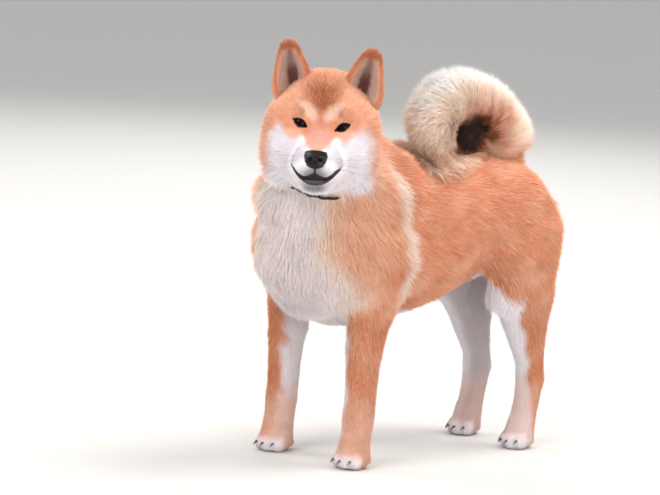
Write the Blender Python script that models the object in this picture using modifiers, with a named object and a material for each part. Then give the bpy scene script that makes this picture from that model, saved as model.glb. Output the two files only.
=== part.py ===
# Shiba inu, an adult male standing square with its head turned to its left, life size.
# Model frame: metres, +Z up, the dog faces -Y and its left side is +X.
# The flesh with its coat is modelled whole, in two lofted and blended bodies, and then parted
# with thin cuts into the parts that a person would name.
import math
import random

import bmesh
import bpy
from mathutils import Matrix, Vector
from mathutils.bvhtree import BVHTree

MM = 0.001
GAP = 0.35 * MM
WELDS = (0.004, 0.002, 0.001, 0.0005, 0.0001, 0.0)
SEED = 7
SIDES = (("left", 1), ("right", -1))

# Driving dimensions, in millimetres over the coat.
WITHERS_HEIGHT = 394
BODY_HALF_WIDTH = 100
HEAD_CENTRE = (34, -190, 442)
HEAD_YAW = 46.7
HEAD_PITCH = 9.2
HEAD_ROLL = 0.3
EYE_RADIUS = 12.0
EYE_SPACING = 56.6
EYE_HEIGHT = -15.0
EYE_DEPTH = -35.5
COLLAR_THICKNESS = 5.0
CLAW_LENGTH = 12

# The tail's brush: its core, and how far its locks reach from the core's centre, in millimetres.
TAIL_CORE = 21
BRUSH_OUTSIDE = 46
BRUSH_INSIDE = 30
BRUSH_LOCK_WIDTH = 52
BRUSH_LOCK_THICKNESS = 7.2
# In points of the core: the first row of locks, the step between rows, a lock's span, the curl's start.
TAIL_FIRST_ROW = 3
TAIL_ROW_STEP = 3
BRUSH_LOCK_SPAN = 5.6
CURL_FROM = 6
TAIL_LOCKS_IN_ROW = 6
# Locks further in than this share of the way round are left out inside the curl.
INSIDE_OF_CURL = 0.3
# Each ring of a lock: its place along the lock, its share of the width and of the reach.
BRUSH_LOCK_PROFILE = ((0.0, 0.75, 0.25), (0.34, 1.0, 0.62), (0.7, 0.74, 0.86), (1.0, 0.0, 1.04))

# Locks that lie on the body, in millimetres.
LAID_LOCK_THICKNESS = 4.4
LOCK_ROOT_DEPTH = 3.0

# Where each foot stands: side, fore or hind, x and y in millimetres.
FEET = {
    ("fore", "left"): (64, -131),
    ("fore", "right"): (-68, -150),
    ("hind", "left"): (55, 160),
    ("hind", "right"): (-47, 158),
}

# Triangle budgets of the faceted bodies.
BODY_TRIANGLES = 2350
HEAD_TRIANGLES = 1600


def mm(*values):
    return Vector(values) * MM


def clear_scene():
    for item in list(bpy.data.objects):
        bpy.data.objects.remove(item)


def collection(name):
    made = bpy.data.collections.new(name)
    bpy.context.scene.collection.children.link(made)
    return made


def material(name, colour, roughness):
    made = bpy.data.materials.new(name)
    made.use_nodes = True
    shader = made.node_tree.nodes["Principled BSDF"]
    shader.inputs["Base Color"].default_value = (*colour, 1)
    shader.inputs["Roughness"].default_value = roughness
    shader.inputs["Metallic"].default_value = 0
    made.diffuse_color = (*colour, 1)
    return made


def to_object(shape, name, group):
    mesh = bpy.data.meshes.new(name)
    shape.to_mesh(mesh)
    shape.free()
    made = bpy.data.objects.new(name, mesh)
    group.objects.link(made)
    return made


def loft(stations, sides=24):
    """A closed tube through unlike sections. A station is a centre, a half width along one vector,
    and half heights above and below the centre along another; rounder or squarer by its power."""
    shape = bmesh.new()
    rings = []
    for centre, side, rise, drop, power in stations:
        ring = []
        for k in range(sides):
            angle = 2 * math.pi * k / sides
            c, s = math.cos(angle), math.sin(angle)
            u = math.copysign(abs(c) ** (2 / power), c)
            v = math.copysign(abs(s) ** (2 / power), s)
            ring.append(shape.verts.new(centre + side * u + (rise if s > 0 else drop) * v))
        rings.append(ring)
    for lower, upper in zip(rings, rings[1:]):
        for k in range(sides):
            shape.faces.new((lower[k], lower[(k + 1) % sides], upper[(k + 1) % sides], upper[k]))
    shape.faces.new(rings[0][::-1])
    shape.faces.new(rings[-1])
    bmesh.ops.recalc_face_normals(shape, faces=shape.faces)
    return shape


def along_y(rows, power=2.2):
    """Stations across the length, from rows of y, x, top, bottom and half width in millimetres."""
    made = []
    for y, x, top, bottom, half in rows:
        middle = 0.5 * (top + bottom)
        rise = mm(0, 0, top - middle)
        made.append((mm(x, y, middle), mm(half, 0, 0), rise, rise, power))
    return made


def along_z(rows, power=2.1):
    """Stations across the height, from rows of z, x, y, half width and half length in millimetres."""
    return [(mm(x, y, z), mm(half_x, 0, 0), mm(0, half_y, 0), mm(0, half_y, 0), power)
            for z, x, y, half_x, half_y in rows]


def blob(centre, radii, turn=None, sides=24):
    """An ellipsoid, its centre and radii in millimetres."""
    shape = bmesh.new()
    bmesh.ops.create_uvsphere(shape, u_segments=sides, v_segments=sides * 3 // 5, radius=1)
    matrix = Matrix.Translation(mm(*centre)) @ (turn or Matrix.Identity(4))
    matrix = matrix @ Matrix.Diagonal((*mm(*radii), 1))
    bmesh.ops.transform(shape, matrix=matrix, verts=shape.verts)
    return shape


def evaluated_copy(item, name, group):
    bpy.context.view_layer.update()
    graph = bpy.context.evaluated_depsgraph_get()
    mesh = bpy.data.meshes.new_from_object(item.evaluated_get(graph))
    made = bpy.data.objects.new(name, mesh)
    made.matrix_world = item.matrix_world.copy()
    group.objects.link(made)
    return made


def bake(item):
    """Applies the object's modifiers to its mesh."""
    bpy.context.view_layer.update()
    graph = bpy.context.evaluated_depsgraph_get()
    mesh = bpy.data.meshes.new_from_object(item.evaluated_get(graph))
    item.modifiers.clear()
    item.data = mesh


def fuse(shapes, voxel, smoothing, name, group):
    """One skin round overlapping closed shapes, with its creases smoothed away."""
    whole = bmesh.new()
    for shape in shapes:
        part = bpy.data.meshes.new("part")
        shape.to_mesh(part)
        shape.free()
        whole.from_mesh(part)
        bpy.data.meshes.remove(part)
    item = to_object(whole, name, group)
    remesh = item.modifiers.new("skin", "REMESH")
    remesh.mode = "VOXEL"
    remesh.voxel_size = voxel * MM
    smooth = item.modifiers.new("smooth", "SMOOTH")
    smooth.factor = 0.5
    smooth.iterations = smoothing
    bake(item)
    return item


def push(item, centre, radius, move):
    """Moves the skin near a point, fading out smoothly with distance, all in millimetres."""
    middle, reach, shift = centre, radius * MM, move
    for vertex in item.data.vertices:
        away = (vertex.co - middle).length / reach
        if away < 1:
            vertex.co += shift * (1 - away * away) ** 2


def thin(item, triangles):
    """Brings the mesh down to a number of triangles, most where it bends."""
    count = sum(len(face.vertices) - 2 for face in item.data.polygons)
    decimate = item.modifiers.new("fewer faces", "DECIMATE")
    decimate.ratio = min(1.0, triangles / count)
    decimate.use_collapse_triangulate = True
    bake(item)


def boolean(item, other, operation, solver="EXACT"):
    cut = item.modifiers.new("cut", "BOOLEAN")
    cut.operation = operation
    cut.solver = solver
    if isinstance(other, bpy.types.Collection):
        cut.operand_type = "COLLECTION"
        cut.collection = other
    else:
        cut.object = other
    bake(item)


def half_space(point, normal, group, size=2.0):
    """A large box on the side of the plane that the normal points to."""
    shape = bmesh.new()
    bmesh.ops.create_cube(shape, size=size)
    turn = Vector((0, 0, 1)).rotation_difference(normal).to_matrix().to_4x4()
    place = Matrix.Translation(point) @ turn @ Matrix.Translation((0, 0, size / 2))
    bmesh.ops.transform(shape, matrix=place, verts=shape.verts)
    return to_object(shape, "half_space", group)


def drop(item):
    bpy.data.objects.remove(item)


def trim(item, other, operation, solver="EXACT"):
    boolean(item, other, operation, solver)
    drop(other)


def inflated(item, gap, group, weld=0.02):
    """A copy of the object, grown outwards by the gap, to cut its neighbours clear of it."""
    made = evaluated_copy(item, item.name + "_clear", group)
    shape = bmesh.new()
    shape.from_mesh(made.data)
    bmesh.ops.remove_doubles(shape, verts=shape.verts, dist=weld * MM)
    shape.normal_update()
    moves = [vertex.normal * gap for vertex in shape.verts]
    for vertex, move in zip(shape.verts, moves):
        vertex.co += move
    shape.to_mesh(made.data)
    shape.free()
    return made


def welded(item, weld):
    """The mesh in triangles, with points nearer than the weld merged."""
    shape = bmesh.new()
    shape.from_mesh(item.data)
    bmesh.ops.remove_doubles(shape, verts=shape.verts, dist=weld * MM)
    bmesh.ops.dissolve_degenerate(shape, edges=shape.edges, dist=weld * MM)
    bmesh.ops.triangulate(shape, faces=shape.faces)
    return shape


def keep_largest(item):
    """Keeps the largest closed surface of the mesh and drops scraps and sealed hollows. Its slivers are
    welded by the widest of a few distances that tears the fewest edges open, most often none."""
    shape, fewest = None, None
    for weld in WELDS:
        trial = welded(item, weld)
        torn = sum(not edge.is_manifold for edge in trial.edges)
        if shape is None or torn < fewest:
            shape, fewest = trial, torn
        if torn == 0:
            break
    seen, groups = set(), []
    for start in shape.verts:
        if start in seen:
            continue
        stack, members = [start], []
        seen.add(start)
        while stack:
            vertex = stack.pop()
            members.append(vertex)
            for edge in vertex.link_edges:
                other = edge.other_vert(vertex)
                if other not in seen:
                    seen.add(other)
                    stack.append(other)
        groups.append(members)
    groups.sort(key=len)
    for members in groups[:-1]:
        bmesh.ops.delete(shape, geom=members, context="VERTS")
    shape.to_mesh(item.data)
    shape.free()


def finish_node(item, name, group, finish):
    keep_largest(item)
    item.name = name
    item.data.name = name
    for owner in list(item.users_collection):
        owner.objects.unlink(item)
    group.objects.link(item)
    item.data.materials.clear()
    item.data.materials.append(finish)
    item.data.shade_smooth()
    return item


def head_matrix():
    """Head frame: x to the dog's left, -y out of the face, z up, its origin in the middle of the skull."""
    return (Matrix.Translation(mm(*HEAD_CENTRE))
            @ Matrix.Rotation(math.radians(HEAD_YAW), 4, "Z")
            @ Matrix.Rotation(math.radians(-HEAD_PITCH), 4, "X")
            @ Matrix.Rotation(math.radians(HEAD_ROLL), 4, "Y"))


def in_head(shape):
    bmesh.ops.transform(shape, matrix=head_matrix(), verts=shape.verts)
    return shape


# The body


def torso_shapes():
    """Chest, ribs, loin and croup: y, x, top, bottom, half width."""
    w = BODY_HALF_WIDTH
    t = WITHERS_HEIGHT
    trunk = along_y([
        (-228, 0, 318, 262, 0.34 * w),
        (-216, 0, 346, 222, 0.66 * w),
        (-190, 0, 374, 190, 0.88 * w),
        (-150, 0, t - 4, 174, 0.98 * w),
        (-100, 0, t, 172, w),
        (-50, 0, t - 3, 180, w),
        (0, 0, t - 5, 194, 0.97 * w),
        (50, 0, t - 8, 213, 0.93 * w),
        (95, 0, t - 9, 229, 0.90 * w),
        (135, 0, t - 12, 240, 0.89 * w),
        (161, 0, t - 20, 243, 0.83 * w),
        (182, 0, t - 40, 250, 0.68 * w),
        (195, 0, t - 66, 260, 0.44 * w),
        (201, 0, 318, 272, 0.22 * w),
    ])
    ruff = blob((-10, -172, 338), (80, 60, 56), Matrix.Rotation(math.radians(20), 4, "X"))
    return [loft(trunk), ruff, blob((0, -190, 268), (62, 42, 62)), blob((0, 156, 300), (84, 47, 60))]


def neck_path():
    """The neck's centres with half widths and half depths, from the shoulders up into the skull."""
    return [
        (mm(0, -92, 300), 94, 98),
        (mm(4, -120, 340), 94, 94),
        (mm(11, -145, 374), 88, 86),
        (mm(20, -167, 404), 78, 77),
        (mm(28, -182, 430), 66, 64),
        (mm(33, -188, 450), 50, 50),
    ]


def neck_axis():
    path = neck_path()
    return (path[4][0] - path[1][0]).normalized()


def neck_shapes():
    stations = []
    path = neck_path()
    for k, (centre, half_width, half_depth) in enumerate(path):
        before = path[max(0, k - 1)][0]
        after = path[min(len(path) - 1, k + 1)][0]
        forward = (after - before).normalized()
        twist = math.radians(HEAD_YAW) * k / (len(path) - 1)
        side = Vector((math.cos(twist), math.sin(twist), 0))
        side = (side - forward * side.dot(forward)).normalized()
        depth = forward.cross(side)
        stations.append((centre, side * half_width * MM, depth * half_depth * MM, depth * half_depth * MM, 2))
    return [loft(stations)]


def foreleg_shapes(side, sign):
    """Upper arm, forearm and pastern of one front leg: z, x, y, half width, half length."""
    x, y = FEET[("fore", side)]
    leg = along_z([
        (300, x - 8 * sign, y + 22, 27, 40),
        (262, x - 1 * sign, y + 16, 34, 48),
        (228, x + 2 * sign, y + 12, 32, 45),
        (202, x + 1 * sign, y + 10, 28.5, 37),
        (176, x, y + 6, 25.5, 30),
        (146, x, y + 3, 23, 25.5),
        (112, x, y + 2, 21, 22.5),
        (84, x, y + 1, 20.5, 21.5),
        (68, x, y, 21, 21.5),
        (50, x, y - 1, 20, 20.5),
        (34, x, y - 3, 20, 21),
        (16, x, y - 5, 21, 23),
    ])
    return [loft(leg), blob((x + 1 * sign, y + 33, 204), (16, 13, 19)), *paw_shapes(x, y - 6, 1.0)]


def hindleg_shapes(side, sign):
    """Thigh, second thigh, hock and rear pastern of one hind leg: z, x, y, half width, half length."""
    x, y = FEET[("hind", side)]
    leg = along_z([
        (340, x - 8 * sign, y - 16, 26, 44),
        (305, x + 3 * sign, y - 24, 37, 62),
        (268, x + 6 * sign, y - 27, 38, 65),
        (236, x + 6 * sign, y - 26, 34, 60),
        (206, x + 5 * sign, y - 20, 30, 53),
        (178, x + 3 * sign, y - 12, 26, 42),
        (152, x + 2 * sign, y - 5, 22, 32),
        (130, x + 1 * sign, y + 1, 19.5, 26),
        (110, x, y + 7, 18, 21.5),
        (90, x, y + 9, 18.5, 20.5),
        (70, x, y + 7, 17.5, 18.5),
        (48, x, y + 3, 17.5, 18),
        (32, x, y - 1, 18.5, 19.5),
        (16, x, y - 4, 19.5, 21.5),
    ])
    heel = blob((x, y + 23, 98), (11, 10, 17), Matrix.Rotation(math.radians(18), 4, "X"))
    stifle = blob((x + 5 * sign, y - 54, 216), (23, 27, 36), Matrix.Rotation(math.radians(22), 4, "X"))
    return [loft(leg), heel, stifle, *paw_shapes(x, y - 6, 0.94)]


def toe_places(x, y, scale):
    """The four toes of a paw, across, along and in size: the middle pair lies ahead of the outer pair."""
    toes = ((-16.0, -6, 9.6), (-6.0, -14, 10.6), (6.0, -14, 10.6), (16.0, -6, 9.6))
    return [(x + across * scale, y + ahead * scale, size * scale) for across, ahead, size in toes]


def paw_shapes(x, y, scale):
    """A cat-like foot: a low pad, the knuckles over it and four arched toes."""
    shapes = [
        blob((x, y + 2, 9), (22 * scale, 24 * scale, 13)),
        blob((x, y + 2, 20), (20 * scale, 20 * scale, 14)),
    ]
    for tx, ty, size in toe_places(x, y, scale):
        shapes.append(blob((tx, ty, 8.5), (size * 0.86, size * 1.25, 12.5)))
    return shapes


def body_skin(group):
    shapes = torso_shapes() + neck_shapes()
    for side, sign in SIDES:
        shapes += foreleg_shapes(side, sign) + hindleg_shapes(side, sign)
    shapes += [in_head(shape) for shape in skull_shapes()]
    skin = fuse(shapes, 3.4, 8, "body_skin", group)
    for sign in (1, -1):
        push(skin, mm(sign * 100, 62, 236), 62, mm(-sign * 9, 0, 6))
        push(skin, mm(sign * 98, -60, 300), 48, mm(-sign * 4, 0, 0))
        push(skin, mm(sign * 90, -130, 268), 55, mm(sign * 5, 0, 0))
    thin(skin, BODY_TRIANGLES)
    trim(skin, half_space(mm(0, 0, 0), Vector((0, 0, -1)), group), "DIFFERENCE")
    return skin


# The head


def skull_shapes():
    """Skull, cheeks, muzzle and jaw in the head frame: y, x, top, bottom, half width."""
    skull = along_y([
        (82, 0, 20, -30, 22),
        (70, 0, 41, -54, 48),
        (48, 0, 54, -76, 66),
        (20, 0, 61, -90, 74),
        (-4, 0, 61, -92, 76),
        (-22, 0, 53, -92, 72),
        (-36, 0, 38, -90, 62),
        (-47, 0, 16, -90, 48),
        (-54, 0, -4, -90, 36),
    ], 2.3)
    muzzle = along_y([
        (-30, 0, 4, -96, 48),
        (-46, 0, -10, -98, 42),
        (-58, 0, -21, -97, 36),
        (-70, 0, -29, -95, 32),
        (-82, 0, -36, -91, 29),
        (-92, 0, -41, -85, 25),
        (-100, 0, -46, -78, 17),
    ], 2.3)
    shapes = [loft(skull), loft(muzzle), blob((0, -56, -86), (25, 36, 14))]
    for sign in (1, -1):
        shapes.append(blob((sign * 40, 6, -44), (37, 46, 50)))
        shapes.append(blob((sign * 14, -88, -66), (15.5, 17, 13.5)))
        shapes.append(blob((sign * 25, -36, 6), (17, 14, 11)))
    return shapes


def head_skin(group):
    shapes = [in_head(shape) for shape in skull_shapes()] + neck_shapes()
    skin = fuse(shapes, 2.4, 8, "head_skin", group)
    place = head_matrix()
    turn = place.to_3x3()
    for sign in (1, -1):
        # Hollow round each eye, the step beside the nose bridge and the fullness of the cheek.
        push(skin, place @ mm(sign * 30, -48, EYE_HEIGHT), 22, turn @ mm(0, 3.0, 0))
        push(skin, place @ mm(sign * 19, -53, EYE_HEIGHT - 5), 13, turn @ mm(0, 3.5, 0))
        push(skin, place @ mm(sign * 33, -66, -42), 15, turn @ mm(-sign * 2.5, 1.5, 0))
        push(skin, place @ mm(sign * 62, -14, -50), 30, turn @ mm(sign * 3, -2, 0))
    push(skin, place @ mm(0, -56, 8), 28, turn @ mm(0, 3.0, 0))
    return skin


def surface_point(tree, across, up):
    """Where a line into the face, at a place across and up in the head frame, meets the skin."""
    place = head_matrix()
    start = place @ mm(across, -300, up)
    along = (place.to_3x3() @ Vector((0, 1, 0))).normalized()
    return tree.ray_cast(start, along)[0]


def skin_tree(item):
    return BVHTree.FromObject(item, bpy.context.evaluated_depsgraph_get())


def swept_tube(points, radius, name, group, cyclic=False, sides=2):
    """A round tube along points, made from a curve, with closed ends."""
    curve = bpy.data.curves.new(name, "CURVE")
    curve.dimensions = "3D"
    curve.bevel_depth = radius * MM
    curve.bevel_resolution = sides
    curve.use_fill_caps = True
    spline = curve.splines.new("POLY")
    spline.points.add(len(points) - 1)
    for slot, point in zip(spline.points, points):
        slot.co = (*point, 1)
    spline.use_cyclic_u = cyclic
    guide = bpy.data.objects.new(name, curve)
    group.objects.link(guide)
    made = evaluated_copy(guide, name, group)
    drop(guide)
    shape = bmesh.new()
    shape.from_mesh(made.data)
    bmesh.ops.remove_doubles(shape, verts=shape.verts, dist=0.05 * MM)
    bmesh.ops.recalc_face_normals(shape, faces=shape.faces)
    shape.to_mesh(made.data)
    shape.free()
    return made


def eye_centre(sign):
    return head_matrix() @ mm(sign * EYE_SPACING / 2, EYE_DEPTH, EYE_HEIGHT)


def lid_edge(sign, tree):
    """The slanted edge of the lids, on the eyeball or the skin, whichever lies further forward: inner corner,
    top, outer corner and bottom."""
    corners = ((-10.2, -7.0), (-7.0, -1.6), (-3.1, 3.6), (1.0, 6.4), (6.0, 6.8), (10.4, 5.0),
               (8.4, 0.2), (4.2, -3.8), (-1.2, -6.0), (-6.6, -7.4))
    edge = []
    place = head_matrix()
    for across, up in corners:
        x, z = sign * (EYE_SPACING / 2 + across), EYE_HEIGHT + up
        skin = (place.inverted() @ surface_point(tree, x, z)).y / MM
        reach = EYE_RADIUS + 0.9
        ball = EYE_DEPTH - math.sqrt(max(4.0, reach * reach - across * across - up * up))
        edge.append(place @ mm(x, min(ball, skin + 0.6), z))
    return edge


def eye_parts(head, tree, group):
    """Opens the lids in the head, raises their rims and returns the eyeballs that lie behind them."""
    out = head_matrix().to_3x3() @ Vector((0, -1, 0))
    balls = {}
    for side, sign in SIDES:
        rim = lid_edge(sign, tree)
        window = bmesh.new()
        front = [window.verts.new(point + out * 16 * MM) for point in rim]
        back = [window.verts.new(point - out * 8 * MM) for point in rim]
        window.faces.new(front)
        window.faces.new(back[::-1])
        for k in range(len(rim)):
            n = (k + 1) % len(rim)
            window.faces.new((front[k], front[n], back[n], back[k]))
        bmesh.ops.recalc_face_normals(window, faces=window.faces)
        trim(head, to_object(window, "window", group), "DIFFERENCE")
        trim(head, swept_tube(rim, 1.2, "lid", group, cyclic=True, sides=1), "UNION")
        for name, radius in (("socket", EYE_RADIUS + GAP / MM), ("eye_" + side, EYE_RADIUS)):
            ball = bmesh.new()
            bmesh.ops.create_uvsphere(ball, u_segments=12, v_segments=8, radius=radius * MM)
            bmesh.ops.translate(ball, verts=ball.verts, vec=eye_centre(sign))
            balls[name] = to_object(ball, name, group)
        trim(head, balls.pop("socket"), "DIFFERENCE")
    return balls


def nose_part(group):
    """The nose leather: a rounded block, wider above, with comma-shaped nostrils and a groove."""
    shape = bmesh.new()
    bmesh.ops.create_cube(shape, size=2)
    bmesh.ops.subdivide_edges(shape, edges=shape.edges, cuts=2, use_grid_fill=True)
    for vertex in shape.verts:
        whole = Vector(vertex.co)
        vertex.co = whole.lerp(whole.normalized() * 1.35, 0.62)
        vertex.co.x *= 1.0 + 0.16 * vertex.co.z
    place = (head_matrix() @ Matrix.Translation(mm(0, -98, -57.5))
             @ Matrix.Rotation(math.radians(-10), 4, "X") @ Matrix.Diagonal((*mm(11.8, 9.0, 9.6), 1)))
    bmesh.ops.transform(shape, matrix=place, verts=shape.verts)
    nose = to_object(shape, "nose", group)
    cutters = [blob((0, -109.4, -66), (0.9, 2.4, 7), sides=10)]
    for sign in (1, -1):
        turn = Matrix.Rotation(math.radians(sign * 25), 4, "Y")
        turn = turn @ Matrix.Rotation(math.radians(sign * 18), 4, "Z")
        cutters.append(blob((sign * 6.4, -108.5, -58), (3.2, 4.6, 2.6), turn, sides=8))
        cutters.append(blob((sign * 10.4, -104.5, -60.4), (3.6, 4.0, 1.0), sides=8))
    for cutter in cutters:
        trim(nose, to_object(in_head(cutter), "nostril", group), "DIFFERENCE")
    return nose


def mouth_line():
    """The line of the closed mouth, across and up in the head frame, from the right corner to the left."""
    points = []
    for k in range(-6, 7):
        t = k / 6
        dip = 5.5 * math.sin(math.pi * min(1.0, abs(t) / 0.8))
        points.append((31 * t, -74 - dip + 12 * t ** 4))
    return points


def lip_parts(skin, group):
    """The dark lips: one tube along the mouth's line and a fuller one under it for the lower lip."""
    tree = skin_tree(skin)
    inward = head_matrix().to_3x3() @ Vector((0, 1, 0))
    upper = [surface_point(tree, x, z) + inward * 0.5 * MM for x, z in mouth_line()]
    lower = []
    for k in range(-4, 5):
        t = k / 4
        lower.append(surface_point(tree, 22 * t, -84.5 + 8 * abs(t) ** 2.2) + inward * 0.8 * MM)
    return {"lip_upper": swept_tube(upper, 1.5, "lip_upper", group, sides=1),
            "lip_lower": swept_tube(lower, 2.8, "lip_lower", group, sides=1)}


def ear_part(side, sign, group):
    """An upright ear: a small rounded triangle bent into a cup that opens forwards."""
    shape = bmesh.new()
    columns, rows = 6, 6
    width, height, cup = 27.0, 61.0, 15.0
    grid = []
    for r in range(rows + 1):
        v = r / rows
        half = width * (1 - v ** 1.9) ** 0.8 + 0.8
        line = []
        for c in range(columns + 1):
            u = 2 * c / columns - 1
            across = u * half + 5 * v * v
            depth = cup * (1 - u * u) * (1 - 0.6 * v) - 7 * v
            line.append(shape.verts.new(mm(sign * across, depth, height * v)))
        grid.append(line)
    for low, high in zip(grid, grid[1:]):
        for c in range(columns):
            shape.faces.new((low[c], low[c + 1], high[c + 1], high[c]))
    place = (head_matrix()
             @ Matrix.Translation(mm(sign * 43, 8, 30))
             @ Matrix.Rotation(math.radians(sign * 3), 4, "Y")
             @ Matrix.Rotation(math.radians(sign * 16), 4, "Z")
             @ Matrix.Rotation(math.radians(6), 4, "X"))
    bmesh.ops.transform(shape, matrix=place, verts=shape.verts)
    bmesh.ops.recalc_face_normals(shape, faces=shape.faces)
    ear = to_object(shape, "ear_" + side, group)
    wall = ear.modifiers.new("wall", "SOLIDIFY")
    wall.thickness = 5.0 * MM
    wall.offset = 0
    wall.use_even_offset = False
    bake(ear)
    return ear


def head_cut():
    """The cut between head and neck: it slopes from under the jaw up to the nape."""
    place = head_matrix()
    return place @ mm(0, -20, -94), place.to_3x3() @ Vector((0, -0.6, 0.8))


def shoulder_cut():
    """The cut between neck and torso: it slopes from the withers down to the front of the chest."""
    return mm(0, -70, 385), Vector((0.2, -0.5, 0.83)).normalized()


def collar_part(tree, group):
    """A thin round show collar that lies on the neck, half sunk in the ruff."""
    point, normal = head_cut()
    axis = neck_axis()
    root = neck_path()[2][0]
    centre = root + axis * ((point - root).dot(normal) / axis.dot(normal)) - normal * 6 * MM
    first = normal.orthogonal().normalized()
    second = normal.cross(first)
    count = 20
    ring = []
    for k in range(count):
        angle = 2 * math.pi * k / count
        out = first * math.cos(angle) + second * math.sin(angle)
        ring.append(tree.ray_cast(centre, out)[0] - out * 2.2 * MM)
    return swept_tube(ring, COLLAR_THICKNESS / 2, "collar", group, cyclic=True, sides=1)


# The tail


def tail_path():
    """Centres of the tail's core and its half thickness, from the croup over the back to the tip."""
    rows = [
        (0, 142, 352, 1.0), (0, 146, 374, 1.1), (0, 141, 394, 1.1), (0, 129, 413, 1.05),
        (1, 110, 432, 1.0), (2, 84, 446, 1.0), (5, 54, 450, 1.0), (10, 28, 442, 0.96),
        (17, 12, 426, 0.9), (25, 8, 409, 0.82), (34, 17, 397, 0.7), (41, 33, 396, 0.5), (44, 47, 401, 0.3),
    ]
    return [(mm(x, y, z), scale * TAIL_CORE * MM) for x, y, z, scale in rows]


def smooth_path(path, steps):
    """More points on a smooth curve through the path's own, each with its half thickness."""
    made = []
    last = len(path) - 1
    for k in range(last):
        p0, p1, p2, p3 = (path[min(last, max(0, k + d))] for d in (-1, 0, 1, 2))
        for s in range(steps):
            t = s / steps
            square = (2 * p0[0] - 5 * p1[0] + 4 * p2[0] - p3[0]) * t ** 2
            cube = (3 * p1[0] - p0[0] - 3 * p2[0] + p3[0]) * t ** 3
            point = 0.5 * (2 * p1[0] + (p2[0] - p0[0]) * t + square + cube)
            made.append((point, p1[1] + (p2[1] - p1[1]) * t))
    made.append(path[-1])
    return made


def tail_core(path, sides=12):
    stations = []
    for k, (centre, radius) in enumerate(path):
        before = path[max(0, k - 1)][0]
        after = path[min(len(path) - 1, k + 1)][0]
        forward = (after - before).normalized()
        side = Vector((1, 0, 0))
        side = (side - forward * side.dot(forward)).normalized()
        rise = forward.cross(side)
        stations.append((centre, side * radius, rise * radius, rise * radius, 2))
    return loft(stations, sides)


# Locks of the long coat


def lock(rings, tip, group):
    """One flat tapered lock of few sides: rings of centre, half width and half thickness, then its tip."""
    shape = bmesh.new()
    rows = []
    for centre, half, rise in rings:
        rows.append([shape.verts.new(centre + offset) for offset in (half, rise, -half, -rise)])
    end = shape.verts.new(tip)
    for low, high in zip(rows, rows[1:]):
        for k in range(4):
            shape.faces.new((low[k], low[(k + 1) % 4], high[(k + 1) % 4], high[k]))
    for k in range(4):
        shape.faces.new((rows[-1][k], rows[-1][(k + 1) % 4], end))
    shape.faces.new(rows[0][::-1])
    bmesh.ops.recalc_face_normals(shape, faces=shape.faces)
    bmesh.ops.triangulate(shape, faces=shape.faces)
    return to_object(shape, "lock", group)


def laid_lock(tree, root, flow, length, width, proud, group):
    """A lock that follows the skin from its sunk root and comes a little proud of it towards its tip."""
    rings = []
    point, lie, before = root, flow, 0
    for t, share, height in ((0, 0.8, 0), (0.3, 1, 0.2), (0.68, 0.78, 0.7), (1, 0, 1)):
        point, normal = tree.find_nearest(point + lie * length * (t - before))[:2]
        lie = (lie - normal * lie.dot(normal)).normalized()
        side = lie.cross(normal) * width * 0.5
        lift = proud * height - LOCK_ROOT_DEPTH * (1 - height) ** 2
        rings.append((point + normal * lift * MM, side * share, normal * LAID_LOCK_THICKNESS * 0.5 * MM))
        before = t
    return lock(rings[:3], rings[3][0], group)


def join_locks(item, locks_group):
    """Fuses the locks of a collection to their body, then removes them."""
    boolean(item, locks_group, "UNION", "MANIFOLD")
    for piece in list(locks_group.objects):
        drop(piece)
    bpy.data.collections.remove(locks_group)


def brush_frame(path, place):
    """The brush's centre, the way along it, its outer side and its left side, also past its last point."""
    last = len(path) - 1
    k = min(last - 1, max(0, int(place)))
    centre = path[k][0].lerp(path[k + 1][0], min(1.0, place - k))
    forward = (path[min(last, k + 2)][0] - path[max(0, k - 1)][0]).normalized()
    centre = centre + forward * max(0.0, place - last) * (path[last][0] - path[last - 1][0]).length
    side = Vector((1, 0, 0))
    side = (side - forward * side.dot(forward)).normalized()
    return centre, forward, forward.cross(side), side


def tail_locks(path, group, dice):
    """The brush: rows of broad locks that lie over one another towards the tip, longest outside the curl."""
    last = len(path) - 1
    for row, place in enumerate(range(TAIL_FIRST_ROW, last, TAIL_ROW_STEP)):
        count = TAIL_LOCKS_IN_ROW if place < last - 4 else TAIL_LOCKS_IN_ROW - 1
        for n in range(count):
            angle = 2 * math.pi * (n + 0.5 * (row % 2) + dice.uniform(-0.12, 0.12)) / count
            outside = 0.5 + 0.5 * math.cos(angle)
            if place > CURL_FROM and outside < INSIDE_OF_CURL:
                continue
            reach = (BRUSH_INSIDE + (BRUSH_OUTSIDE - BRUSH_INSIDE) * outside) * MM * dice.uniform(0.94, 1.06)
            span = BRUSH_LOCK_SPAN * dice.uniform(0.9, 1.1)
            width = BRUSH_LOCK_WIDTH * reach / BRUSH_OUTSIDE
            rings = []
            for t, share, height in BRUSH_LOCK_PROFILE:
                centre, forward, outer, side = brush_frame(path, place + span * t)
                normal = outer * math.cos(angle) + side * math.sin(angle)
                half = forward.cross(normal) * width * 0.5 * share
                rise = normal * BRUSH_LOCK_THICKNESS * 0.5 * MM * share
                rings.append((centre + normal * reach * height, half, rise))
            lock(rings[:3], rings[3][0], group)


def coat_lock(tree, start, out, flow, length, width, group, dice):
    """A laid lock where the line out of the body meets its skin."""
    hit = tree.ray_cast(start, out)[0]
    if hit is not None:
        reach = length * MM * dice.uniform(0.88, 1.12)
        laid_lock(tree, hit, flow.normalized(), reach, width * MM, dice.uniform(2.6, 4.2), group)


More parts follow.
